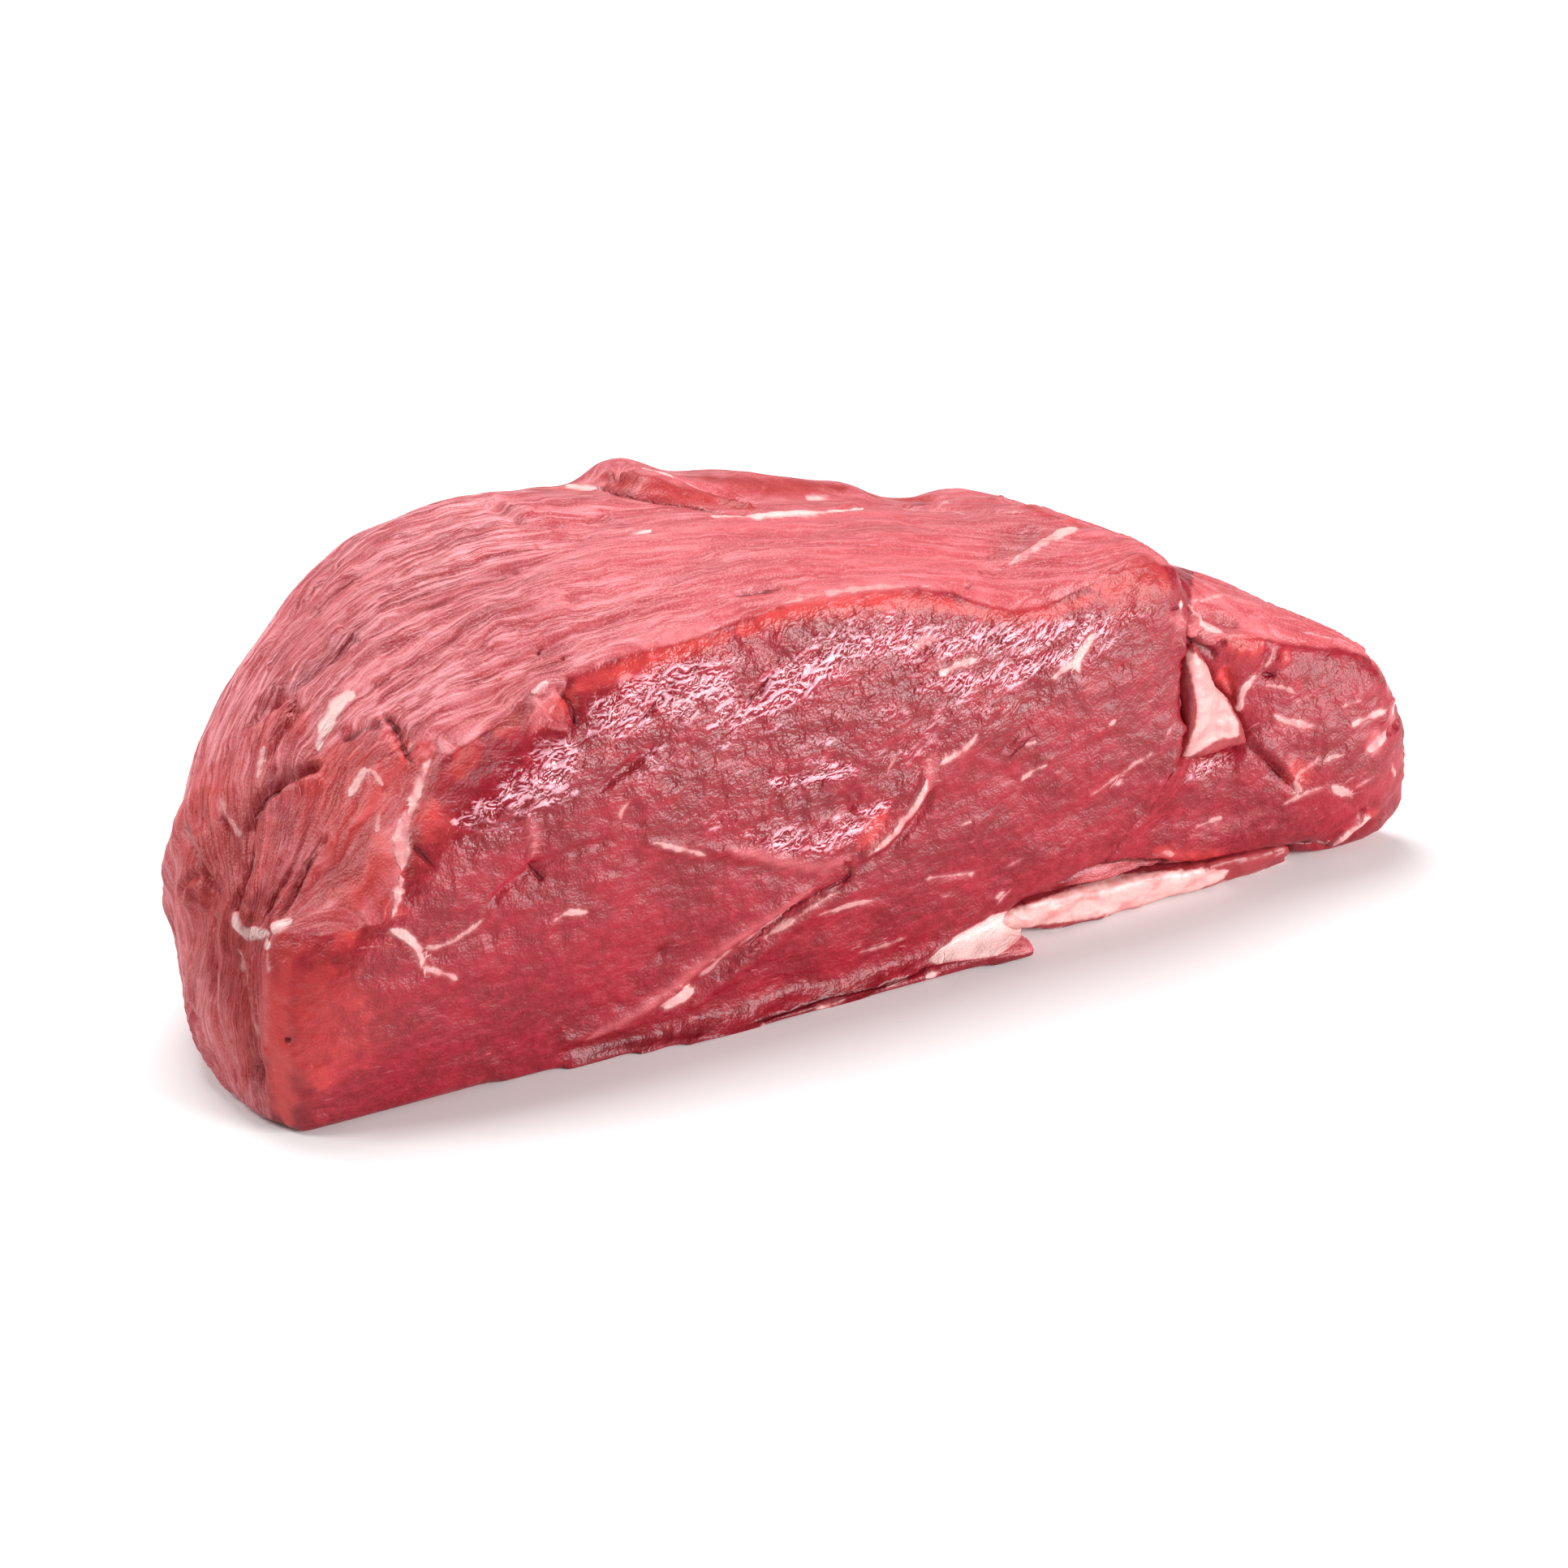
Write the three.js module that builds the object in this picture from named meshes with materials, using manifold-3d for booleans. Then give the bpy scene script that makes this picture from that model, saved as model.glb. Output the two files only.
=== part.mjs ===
// A trimmed raw beef shoulder clod, lying on its flat underside, in millimetres with +Z up.
// It is one piece of lean meat with two layers of fat that show at its side.
// The lean is whittled by a function: planes for the knife cuts, a dome for the natural outside,
// each blended into its neighbours. Its shape is worked out in a block frame whose origin is the
// front left corner of the underside, with X along the length, Y to the back and Z up.
import * as THREE from "three";
import { mergeVertices } from "three/addons/utils/BufferGeometryUtils.js";
import Module from "manifold-3d";

const wasm = await Module();
wasm.setup();

// Driving sizes of the whole piece. Lists of pairs are curves: [place, value].
const LENGTH = 324; // from the front left corner to the tip of the end muscle, before rounding
const DEPTH = 132; // from the front cut to the fullest part of the back
const SEAT_CUT = 0.4; // the thickness shaved off the rounded underside to leave a flat seat
const FAT_GAP = 0.4; // clearance between a fat layer and the pocket that it fills

// Main muscle: its front cut, which leans back at the top and bulges at half height
const CUT = { lean: 8, bulge: 4 };

// Main muscle: the height of its crest along the length, and the crest's distance behind the cut
const CREST_HEIGHT = [
  [-12, 60],
  [5, 82],
  [28, 102],
  [55, 114],
  [80, 116],
  [106, 110],
  [132, 104],
  [160, 100],
  [185, 95],
  [210, 94.5],
  [220, 90],
  [232, 87],
  [262, 74],
];
const CREST_Y = [
  [60, 52],
  [120, 46],
  [160, 42],
  [195, 28],
  [235, 6],
];

// Main muscle: how far the top falls, in thousandths of the squared distance from the crest
const FALL_BEHIND = [
  [100, 10.5],
  [160, 9],
  [195, 5.8],
  [226, 3.6],
];
const FALL_IN_FRONT = 5.5;

// Main muscle: a hump and a dip in the cut's top edge
const HUMP = { x: 135, height: 3, width: 22 };
const DIP = { x: 186, height: -4, width: 20 };
const EDGE_REACH = 26; // how far behind the cut the hump and the dip fade

// Main muscle: where the left end lies at each depth
const LEFT_END = [
  [0, -0.8],
  [7, -5.4],
  [16, -9],
  [32, -10.2],
  [50, -8.8],
  [64, -6],
  [76, 3],
  [96, 24],
  [132, 90],
];

// Main muscle: where its right end meets the front cut at each height, and how it splays behind
const RIGHT_END = [
  [0, 150],
  [6, 172],
  [12, 193],
  [21, 214],
  [38, 231],
  [50, 237],
  [66, 234],
  [78, 232],
  [90, 237],
];
const END_SPLAY = { from: 20, slope: 0.3 };
const UNDERCUT_BACK = { from: 40, to: 76, z: 50 }; // behind here the right end stands upright

// Main muscle: how the foot of its left end draws in towards the back
const TUCK = { slope: 0.16, below: 40, from: 36, to: 60 };

// Main muscle: the rounded back, and the two slopes at the left end
const BACK = { x: 122, y: 40, halfLength: 136, middleZ: 40, halfHeight: 60, lean: 0.1 };
const SHOULDER = { point: [24, 0, 55], normal: [-0.43, -0.5, 0.75] };
const BACK_SHOULDER = { point: [17, 76, 71], normal: [-0.72, 0.35, 0.6] };

// Main muscle: the rounding between neighbouring faces
const ROUND = { back: 24, shoulder: 30, backShoulder: 14, rightEnd: 5, cut: 4.5, leftEnd: 9.5, seat: 10 };
const SHARP = 1.5; // the rounding at the foot of the cut, where the knife left an edge

// Rim of the back muscle, which stands up behind the top: its height along the length
const RIM_HEIGHT = [
  [86, 103],
  [98, 107],
  [110, 103],
  [122, 109],
  [137, 103],
  [160, 99],
  [173, 94],
  [190, 87],
  [205, 84],
  [218, 83],
  [234, 81],
];
const RIM = { front: 61, middleX: 162, halfLength: 76, crestY: 72, fall: 0.018, inset: 5, round: 14 };

// Lip: the thin hem of meat along the foot of the cut, which ends in a thicker flap
const LIP = { from: 42, to: 184.5, thick: 2.4, flapFrom: 152, flapTo: 166, flapThick: 8, round: 2 };
const LIP_REACH = [
  [50, 0.6],
  [71, 2.2],
  [84, 5],
  [96, 6.6],
  [120, 7.4],
  [145, 7],
  [160, 7.4],
  [172, 7.4],
  [185, 8.5],
];

// End muscle: its crest along the length, its front, and the hollow at its foot
const LOBE_HEIGHT = [
  [140, 40],
  [180, 64],
  [205, 78],
  [235, 78],
  [250, 70],
  [264, 64],
  [288, 54],
  [306, 45],
];
const LOBE = { from: 140, faceY: 1, lean: 4, depth: 84, tipY: 18, tipZ: 33, bend: 0.0125 };
const LOBE_ROUND = { back: 22, tip: 14, cut: 5, seat: 3, tipSeat: 8 };
const BELLY = { x: 278, z: 26, width: 26, swell: 5 };
const HOLLOW = { x: 263, width: 10, deep: 4, top: 12 };
const FOOT = { set: 1, top: 14 };

// Fat between the main and the end muscle: a wedge that runs in from the front and tapers
const SEAM = { left: 229, right: [235, 61], rightNormal: [0.85, 0.53], foot: 37, taper: 0.006, middle: 50 };

// Fat under the end muscle: a layer that climbs over the flap at its left
const UNDER = { left: 168, right: 264, top: 10.5, slope: 0.045, climbTo: 200, depth: 74 };

const smoothMax = (a, b, k) => {
  const h = Math.max(k - Math.abs(a - b), 0) / k;
  return Math.max(a, b) + (h * h * k) / 4;
};
const smoothMin = (a, b, k) => -smoothMax(-a, -b, k);
const bell = (x, centre, width) => Math.exp(-(((x - centre) / width) ** 2));
const step = THREE.MathUtils.smoothstep;

// A smooth curve through [x, value] pairs; each piece starts and ends with its neighbours' slope.
function curveThrough(points) {
  const last = points.length - 1;
  const slope = (i) => {
    const [a, b] = [points[Math.max(i - 1, 0)], points[Math.min(i + 1, last)]];
    return (b[1] - a[1]) / (b[0] - a[0]);
  };
  return (x) => {
    const at = THREE.MathUtils.clamp(x, points[0][0], points[last][0]);
    const i = Math.max(points.findIndex((p) => p[0] >= at), 1);
    const [[x0, v0], [x1, v1]] = [points[i - 1], points[i]];
    const [w, t] = [x1 - x0, (at - x0) / (x1 - x0)];
    return (
      v0 * (1 + 2 * t) * (1 - t) ** 2 +
      v1 * t * t * (3 - 2 * t) +
      w * t * (1 - t) * (slope(i - 1) * (1 - t) - slope(i) * t)
    );
  };
}

// The distance of a point beyond a plane.
const beyond = ({ point, normal }, x, y, z) => {
  const n = new THREE.Vector3(...normal).normalize();
  return n.x * (x - point[0]) + n.y * (y - point[1]) + n.z * (z - point[2]);
};

// Wraps a box's surface round a solid that a function gives, negative inside. Each vertex is sent
// out from a line inside the solid until it meets the surface. The reach along each axis, to its
// low and high side, aims the box's edges at the solid's own edges. The line runs along one axis
// of the box, x unless another is given.
function wrap(field, spine, reach, segments, axis = 0) {
  const g = new THREE.BoxGeometry(2, 2, 2, ...segments);
  const p = g.getAttribute("position");
  const [from, to] = spine.map((v) => new THREE.Vector3(...v));
  const [origin, way, at] = [new THREE.Vector3(), new THREE.Vector3(), new THREE.Vector3()];
  for (let i = 0; i < p.count; i++) {
    const box = [p.getX(i), p.getY(i), p.getZ(i)];
    origin.lerpVectors(from, to, (box[axis] + 1) / 2);
    way.set(...box.map((b, i) => b * reach[i][b > 0 ? 1 : 0]));
    way.setComponent(axis, way.getComponent(axis) * box[axis] ** 4);
    let [inside, outside] = [0, 4];
    for (let n = 0; n < 26; n++) {
      const middle = (inside + outside) / 2;
      at.copy(origin).addScaledVector(way, middle);
      if (field(at.x, at.y, at.z) < 0) inside = middle;
      else outside = middle;
    }
    p.setXYZ(i, ...origin.addScaledVector(way, inside));
  }
  g.deleteAttribute("normal");
  g.deleteAttribute("uv");
  return mergeVertices(g, 1e-3);
}

function toSolid(geometry) {
  return new wasm.Manifold(
    new wasm.Mesh({
      numProp: 3,
      vertProperties: new Float32Array(geometry.getAttribute("position").array),
      triVerts: new Uint32Array(geometry.index.array),
    }),
  );
}

function toMesh(name, solid, colour, roughness) {
  const made = solid.getMesh();
  const g = new THREE.BufferGeometry();
  g.setAttribute("position", new THREE.BufferAttribute(made.vertProperties, 3));
  g.setIndex(new THREE.BufferAttribute(made.triVerts, 1));
  g.computeVertexNormals();
  const material = new THREE.MeshStandardMaterial({ color: colour, roughness, metalness: 0 });
  const mesh = new THREE.Mesh(g, material);
  mesh.name = name;
  return mesh;
}

const crestHeight = curveThrough(CREST_HEIGHT);
const crestY = curveThrough(CREST_Y);
const fallBehind = curveThrough(FALL_BEHIND);
const leftEnd = curveThrough(LEFT_END);
const rightEnd = curveThrough(RIGHT_END);
const rimHeight = curveThrough(RIM_HEIGHT);
const lipReach = curveThrough(LIP_REACH);
const lobeHeight = curveThrough(LOBE_HEIGHT);
const endSplay = (y) => END_SPLAY.slope * Math.max(y - END_SPLAY.from, 0);

// Long folds: gathered at the left end, fanning out over the top
function folds(x, y, z) {
  const gathered = 1.5 * Math.sin(y / 2.7 + z / 50) * bell(x, -8, 14) * step(z, 8, 40);
  const fanned = 0.8 * Math.sin(y / 3.4 - x / 17) * step(z, 70, 92) * step(y, 4, 16);
  return gathered + fanned;
}

function backField(x, y, z) {
  const halfDepth = DEPTH - BACK.y;
  const round = Math.hypot((x - BACK.x) / BACK.halfLength, Math.max((y - BACK.y) / halfDepth, 0));
  return (round - 1 + BACK.lean * ((z - BACK.middleZ) / BACK.halfHeight) ** 2) * halfDepth * 0.9;
}

function topField(x, y, z) {
  const behind = y - crestY(x);
  const fall = (behind > 0 ? fallBehind(x) : FALL_IN_FRONT) * (behind ** 2 / 1000);
  const edge = HUMP.height * bell(x, HUMP.x, HUMP.width) + DIP.height * bell(x, DIP.x, DIP.width);
  return z - crestHeight(x) + fall - edge * bell(y, 0, EDGE_REACH);
}

function rimField(x, y, z) {
  const front = RIM.front - 0.12 * Math.max(x - 190, 0) + 2 * Math.sin(x / 7) - y;
  const top = rimHeight(x) + 1.2 * Math.sin(x / 5.5) - RIM.fall * Math.max(y - RIM.crestY, 0) ** 2;
  const ends = Math.abs(x - RIM.middleX) - RIM.halfLength;
  const f = smoothMax(z - top, backField(x, y, z) + RIM.inset, RIM.round);
  return smoothMax(smoothMax(f, front, 4), ends, 10);
}

function mainField(x, y, z) {
  const face = CUT.lean * (z / 100) ** 2 - CUT.bulge * Math.sin((Math.PI * z) / 100);
  let f = smoothMax(topField(x, y, z), backField(x, y, z), ROUND.back);
  f = smoothMax(f, beyond(SHOULDER, x, y, z), ROUND.shoulder);
  f = smoothMax(f, beyond(BACK_SHOULDER, x, y, z), ROUND.backShoulder);
  f = smoothMin(f, rimField(x, y, z), 5);
  const tuck = TUCK.slope * Math.max(TUCK.below - z, 0) * step(y, TUCK.from, TUCK.to);
  f = smoothMax(f, leftEnd(y) + tuck - x, SHARP + (ROUND.leftEnd - SHARP) * step(z, 5, 45));
  const upright = Math.max(z, UNDERCUT_BACK.z * step(y, UNDERCUT_BACK.from, UNDERCUT_BACK.to));
  f = smoothMax(f, (x - rightEnd(upright) - endSplay(y)) * 0.8, ROUND.rightEnd);
  f = smoothMax(f, face - y, SHARP + (ROUND.cut - SHARP) * step(z, 5, 30));
  f = smoothMax(f, -z, SHARP + (ROUND.seat - SHARP) * step(y, 20, 60));
  return f + folds(x, y, z);
}

function lipField(x, y, z) {
  const front = 0.5 * Math.sin(x / 6) - lipReach(x) - y;
  const top = LIP.thick + (LIP.flapThick - LIP.thick) * step(x, LIP.flapFrom, LIP.flapTo);
  let f = smoothMax(z - top - 0.4 * Math.sin(x / 4.5), front, LIP.round);
  f = smoothMax(f, Math.max(LIP.from - x, x - LIP.to), LIP.round);
  return Math.max(f, y - 24, -3 - z);
}

function lobeField(x, y, z) {
  const tip = (x - LENGTH + LOBE.bend * ((y - LOBE.tipY) ** 2 + (z - LOBE.tipZ) ** 2)) * 0.9;
  const belly = BELLY.swell * bell(x, BELLY.x, BELLY.width) * bell(z, BELLY.z, BELLY.width);
  const hollow = HOLLOW.deep * bell(x, HOLLOW.x, HOLLOW.width) * (1 - step(z, 2, HOLLOW.top));
  const foot = FOOT.set * (1 - step(z, 3, FOOT.top));
  const front = LOBE.faceY + LOBE.lean * (z / 70) ** 3 + foot - belly + hollow - y;
  const top = lobeHeight(x) - 0.01 * Math.max(22 - y, 0) ** 2 - 0.006 * Math.max(y - 30, 0) ** 2;
  const back = y - LOBE.depth + 0.009 * (x - 205) ** 2;
  let f = smoothMax(z - top, back, LOBE_ROUND.back);
  f = smoothMax(f, tip, LOBE_ROUND.tip);
  f = smoothMax(f, front, LOBE_ROUND.cut);
  f = smoothMax(f, LOBE.from - x, LOBE_ROUND.tipSeat);
  return smoothMax(f, -z, LOBE_ROUND.seat + (LOBE_ROUND.tipSeat - LOBE_ROUND.seat) * step(x, 262, 290));
}

function seamField(x, y, z) {
  const scale = 1 - SEAM.taper * Math.max(y, 0);
  const px = SEAM.left + (x - SEAM.left - endSplay(y)) / scale;
  const pz = SEAM.middle + (z - SEAM.middle) / scale;
  const right = SEAM.rightNormal[0] * (px - SEAM.right[0]) + SEAM.rightNormal[1] * (pz - SEAM.right[1]);
  const sides = smoothMax(smoothMax(right, SEAM.left - px, 2), SEAM.foot - pz, 2);
  return Math.max(sides * scale, -15 - y, y - 105);
}

function underField(x, y, z) {
  const top = UNDER.top - UNDER.slope * (x - UNDER.left);
  const foot = UNDER.top * Math.min((UNDER.climbTo - x) / (UNDER.climbTo - UNDER.left), 1) - 1;
  const ends = smoothMax(UNDER.left - x, x - UNDER.right + 0.004 * (y - 10) ** 2, 2);
  const sides = smoothMax(smoothMax(z - top, foot - z, 1), ends, 3);
  return Math.max(smoothMax(sides, y - UNDER.depth, 8), -20 - y, -3 - z);
}

// Each shape's inner line, its reach to the low and high side of each axis, and its segments
const MAIN_WRAP = [[[46, 52, 43], [190, 50, 43]], [[53, 53], [60, 60], [50, 60]], [48, 30, 17]];
const LOBE_WRAP = [[[180, 30, 26], [270, 28, 26]], [[34, 38], [32, 40], [30, 50]], [24, 12, 11]];
const LIP_WRAP = [[[60, 8, 0.5], [176, 6, 0.5]], [[20, 20], [8, 8], [2, 1.2]], [40, 4, 3]];
const SEAM_WRAP = [[[233, 0, 45], [250, 90, 48]], [[4, 9], [9, 9], [8, 14]], [4, 12, 6], 1];
const UNDER_WRAP = [[[205, 30, 4], [240, 30, 4]], [[20, 20], [40, 40], [6, 6]], [14, 10, 3]];

// The fat layers' shapes, or with a gap those of the pockets that they fill
const layers = (gap) => [
  toSolid(wrap((x, y, z) => seamField(x, y, z) - gap, ...SEAM_WRAP)),
  toSolid(wrap((x, y, z) => underField(x, y, z) - gap, ...UNDER_WRAP)),
];

// The table under the seat, to cut it flat
function tableSolid() {
  const g = new THREE.BoxGeometry(900, 900, 100).translate(0, 0, SEAT_CUT - 50);
  g.deleteAttribute("normal");
  g.deleteAttribute("uv");
  return toSolid(mergeVertices(g));
}

const main = toSolid(wrap(mainField, ...MAIN_WRAP));
const lobe = toSolid(wrap(lobeField, ...LOBE_WRAP));
const lip = toSolid(wrap(lipField, ...LIP_WRAP));
const whole = main.add(lobe).add(lip).subtract(tableSolid());
const [seamFat, underFat] = layers(0).map((layer) => whole.intersect(layer));
const lean = layers(FAT_GAP).reduce((left, pocket) => left.subtract(pocket), whole);

const group = new THREE.Group();
group.add(toMesh("clod", lean, 0xb0303a, 0.45));
group.add(toMesh("seam_fat", seamFat, 0xf3cfc6, 0.5));
group.add(toMesh("under_fat", underFat, 0xf3d6cc, 0.5));
const size = new THREE.Box3().setFromObject(group);
group.position.set(-(size.min.x + size.max.x) / 2, -(size.min.y + size.max.y) / 2, -size.min.z);
export default group;
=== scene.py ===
# %% [markdown]
# # A raw beef shoulder clod
# A shoulder clod is a thick muscle from above the foreleg. The butcher has cut it straight down
# the front, so the lean shows there, wet and deep red. The top and the left end still have the
# thin silver skin that wraps every muscle, which dries to a dull pink with long fibres in it.
# A second, smaller muscle tapers off to the right, and fat fills the seams between the two.
#
# The model starts from the solids of the frame, which have the right size and outline. Blender
# adds what makes it meat: folds, cracks, fat, the grain and the wet shine.

# %% Load the frame
import math
from types import SimpleNamespace

import bmesh
import bpy
import numpy as np
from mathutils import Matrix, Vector, noise
from mathutils.bvhtree import BVHTree


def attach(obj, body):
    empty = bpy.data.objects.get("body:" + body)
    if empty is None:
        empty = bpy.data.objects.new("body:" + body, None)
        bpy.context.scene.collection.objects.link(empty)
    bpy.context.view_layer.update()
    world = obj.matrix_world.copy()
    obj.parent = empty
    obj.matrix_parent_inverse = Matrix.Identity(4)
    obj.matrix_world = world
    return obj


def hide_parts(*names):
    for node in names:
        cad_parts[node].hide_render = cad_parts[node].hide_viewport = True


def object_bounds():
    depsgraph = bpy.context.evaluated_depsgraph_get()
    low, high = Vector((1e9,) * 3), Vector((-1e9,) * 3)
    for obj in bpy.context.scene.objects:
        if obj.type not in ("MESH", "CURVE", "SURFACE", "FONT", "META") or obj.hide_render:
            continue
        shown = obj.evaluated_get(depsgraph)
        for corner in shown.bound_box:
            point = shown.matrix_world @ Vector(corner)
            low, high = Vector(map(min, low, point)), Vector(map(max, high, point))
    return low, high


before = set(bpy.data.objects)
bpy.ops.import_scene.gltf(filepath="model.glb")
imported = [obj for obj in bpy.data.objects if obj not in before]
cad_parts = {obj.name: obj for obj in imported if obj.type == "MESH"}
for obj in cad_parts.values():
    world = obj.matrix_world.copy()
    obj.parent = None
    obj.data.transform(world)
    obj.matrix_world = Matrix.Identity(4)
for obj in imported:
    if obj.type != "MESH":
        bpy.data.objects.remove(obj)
cad_low, cad_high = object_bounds()
MM = 0.001
print("frame nodes", sorted(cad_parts), "size", [round(v, 4) for v in cad_high - cad_low])

# %% [markdown]
# ## Camera
# The photograph was taken from the front left, a little above. The lens is long, so the piece
# shows almost no perspective. The camera comes first, because the marks on the meat are placed
# by where they are in the photograph: a ray from the camera through that pixel meets the surface.

# %% Camera
PHOTO_SIDE = 1932
LENS, SENSOR = 95.0, 36.0
AZIMUTH, ELEVATION = math.radians(-30), math.radians(25)
DISTANCE = 0.95
TARGET = Vector((-0.0129, -0.0388, 0.0446))

back = Vector((
    math.sin(AZIMUTH) * math.cos(ELEVATION),
    -math.cos(AZIMUTH) * math.cos(ELEVATION),
    math.sin(ELEVATION),
))
eye = TARGET + DISTANCE * back
turn = (-back).to_track_quat("-Z", "Y").to_matrix()

camera = bpy.data.objects.new("camera", bpy.data.cameras.new("camera"))
camera.data.lens, camera.data.sensor_width = LENS, SENSOR
camera.data.clip_start, camera.data.clip_end = 0.01, 20
camera.location, camera.rotation_euler = eye, turn.to_euler()
bpy.context.scene.collection.objects.link(camera)
bpy.context.scene.camera = camera
bpy.context.scene.view_settings.view_transform = "Standard"

HALF_VIEW = SENSOR / LENS / 2


def photo_ray(px, py):
    """The direction of the ray through a pixel of the photograph."""
    across = (2 * px / PHOTO_SIDE - 1) * HALF_VIEW
    up = (1 - 2 * py / PHOTO_SIDE) * HALF_VIEW
    return (turn @ Vector((across, up, -1))).normalized()


def photo_pixels(points):
    """Where points of the model are in the photograph, as an array of pixel pairs."""
    seen = (points - np.array(eye)) @ np.array(turn)
    across = seen[:, 0] / -seen[:, 2] / HALF_VIEW
    up = seen[:, 1] / -seen[:, 2] / HALF_VIEW
    return np.column_stack(((1 + across) / 2, (1 - up) / 2)) * PHOTO_SIDE


print("camera at", [round(v, 3) for v in eye])

# %% [markdown]
# ## Floor and light
# A pale floor and soft light from all sides, as in a product photograph. One large lamp above
# and behind gives the top its milky sheen, and one to the right front makes the wet cut sparkle.

# %% Floor and light
FLOOR_SIDE = 8.0


def floor():
    bm = bmesh.new()
    bmesh.ops.create_grid(bm, x_segments=1, y_segments=1, size=FLOOR_SIDE / 2)
    mesh = bpy.data.meshes.new("floor")
    bm.to_mesh(mesh)
    obj = bpy.data.objects.new("floor", mesh)
    bpy.context.scene.collection.objects.link(obj)
    paint = bpy.data.materials.new("floor white")
    paint.use_nodes = True
    shader = paint.node_tree.nodes["Principled BSDF"]
    shader.inputs["Base Color"].default_value = (0.88, 0.88, 0.88, 1)
    shader.inputs["Roughness"].default_value = 0.9
    mesh.materials.append(paint)


def soft_box(name, place, size, power, tint=(1, 1, 1)):
    lamp = bpy.data.lights.new(name, "AREA")
    lamp.shape, lamp.size, lamp.energy, lamp.color = "SQUARE", size, power, tint
    obj = bpy.data.objects.new(name, lamp)
    obj.location = place
    obj.rotation_euler = (Vector((0, 0, 0.04)) - Vector(place)).to_track_quat("-Z", "Y").to_euler()
    bpy.context.scene.collection.objects.link(obj)


floor()
soft_box("top light", (0.1, 0.6, 1.35), 0.9, 19)
soft_box("front light", (0.75, -1.1, 0.38), 0.65, 24)
soft_box("left light", (-1.0, 0.4, 1.1), 0.5, 10)
world = bpy.data.worlds.new("studio")
world.use_nodes = True
world.node_tree.nodes["Background"].inputs["Color"].default_value = (1, 1, 1, 1)
world.node_tree.nodes["Background"].inputs["Strength"].default_value = 0.3
bpy.context.scene.world = world

# %% [markdown]
# ## From faceted solid to soft flesh
# The solid of the frame has flat faces. A voxel remesh covers a merged copy of it with small,
# even quads, and smoothing melts the facets away. Knife edges are smoothed less than the rest,
# so that the front keeps its crisp foot.

# %% Merge, remesh and smooth
VOXEL = 1.9 * MM
SMOOTH_ROUNDS = 14
EDGE_ROUNDS = 3
FOOT_TOP = 9 * MM
FOOT_BACK = 12 * MM


def merged_copy(node, name):
    """A new object with a copy of a node's mesh, its loose triangles joined."""
    bm = bmesh.new()
    bm.from_mesh(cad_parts[node].data)
    bmesh.ops.remove_doubles(bm, verts=bm.verts, dist=0.01 * MM)
    mesh = bpy.data.meshes.new(name)
    bm.to_mesh(mesh)
    bm.free()
    obj = bpy.data.objects.new(name, mesh)
    bpy.context.scene.collection.objects.link(obj)
    return obj


def remesh(obj, voxel):
    """Covers the object with even quads, and keeps the result as its mesh."""
    modifier = obj.modifiers.new("even quads", "REMESH")
    modifier.mode, modifier.voxel_size, modifier.use_smooth_shade = "VOXEL", voxel, True
    shaped = obj.evaluated_get(bpy.context.evaluated_depsgraph_get())
    obj.data = bpy.data.meshes.new_from_object(shaped)
    obj.modifiers.clear()


def smooth(obj, rounds, chosen=None):
    """Moves each vertex halfway to the middle of its neighbours, some rounds long."""
    bm = bmesh.new()
    bm.from_mesh(obj.data)
    verts = [v for v in bm.verts if chosen is None or chosen(v.co)]
    for _ in range(rounds):
        bmesh.ops.smooth_vert(
            bm, verts=verts, factor=0.5, use_axis_x=True, use_axis_y=True, use_axis_z=True
        )
    bm.to_mesh(obj.data)
    bm.free()


def above_the_foot(co):
    return co.z > FOOT_TOP or co.y > cad_low.y + FOOT_BACK


clod = merged_copy("clod", "shoulder_clod")
remesh(clod, VOXEL)
smooth(clod, EDGE_ROUNDS)
smooth(clod, SMOOTH_ROUNDS - EDGE_ROUNDS, above_the_foot)
print("clod", len(clod.data.vertices), "vertices", len(clod.data.polygons), "faces")

# %% [markdown]
# The side that the camera sees carries the fine folds, so its quads are halved. The back and the
# underside keep the larger ones.

# %% Finer quads where the meat is seen
FACING = 0.05


def refine(obj):
    bm = bmesh.new()
    bm.from_mesh(obj.data)
    seen = [f for f in bm.faces if f.normal.dot(eye - f.calc_center_median()) > FACING * DISTANCE]
    edges = list({e.index: e for f in seen for e in f.edges}.values())
    bmesh.ops.subdivide_edges(bm, edges=edges, cuts=1, use_grid_fill=True)
    bmesh.ops.triangulate(bm, faces=[f for f in bm.faces if len(f.verts) > 4])
    for face in bm.faces:
        face.smooth = True
    bm.to_mesh(obj.data)
    bm.free()


refine(clod)
smooth(clod, 2)
print("clod", len(clod.data.vertices), "vertices,",
      sum(len(p.vertices) - 2 for p in clod.data.polygons), "triangles")

# %% [markdown]
# ## Marks drawn on the photograph
# A crease or a streak of fat is drawn as a line of photo pixels. Rays through its pixels find the
# line on the meat, and each vertex then knows how far it is from that line, in millimetres.

# %% Lines on the meat
PIXEL_STEP = 4


def points_of(obj):
    flat = np.empty(3 * len(obj.data.vertices), dtype=np.float32)
    obj.data.vertices.foreach_get("co", flat)
    return flat.reshape(-1, 3).astype(float) / MM


def normals_of(obj):
    flat = np.empty(3 * len(obj.data.vertices), dtype=np.float32)
    obj.data.vertices.foreach_get("normal", flat)
    return flat.reshape(-1, 3).astype(float)


def set_points(obj, points):
    obj.data.vertices.foreach_set("co", (points * MM).astype(np.float32).ravel())
    obj.data.update()


def surface_tree(obj):
    bm = bmesh.new()
    bm.from_mesh(obj.data)
    made = BVHTree.FromBMesh(bm)
    bm.free()
    return made


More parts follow.
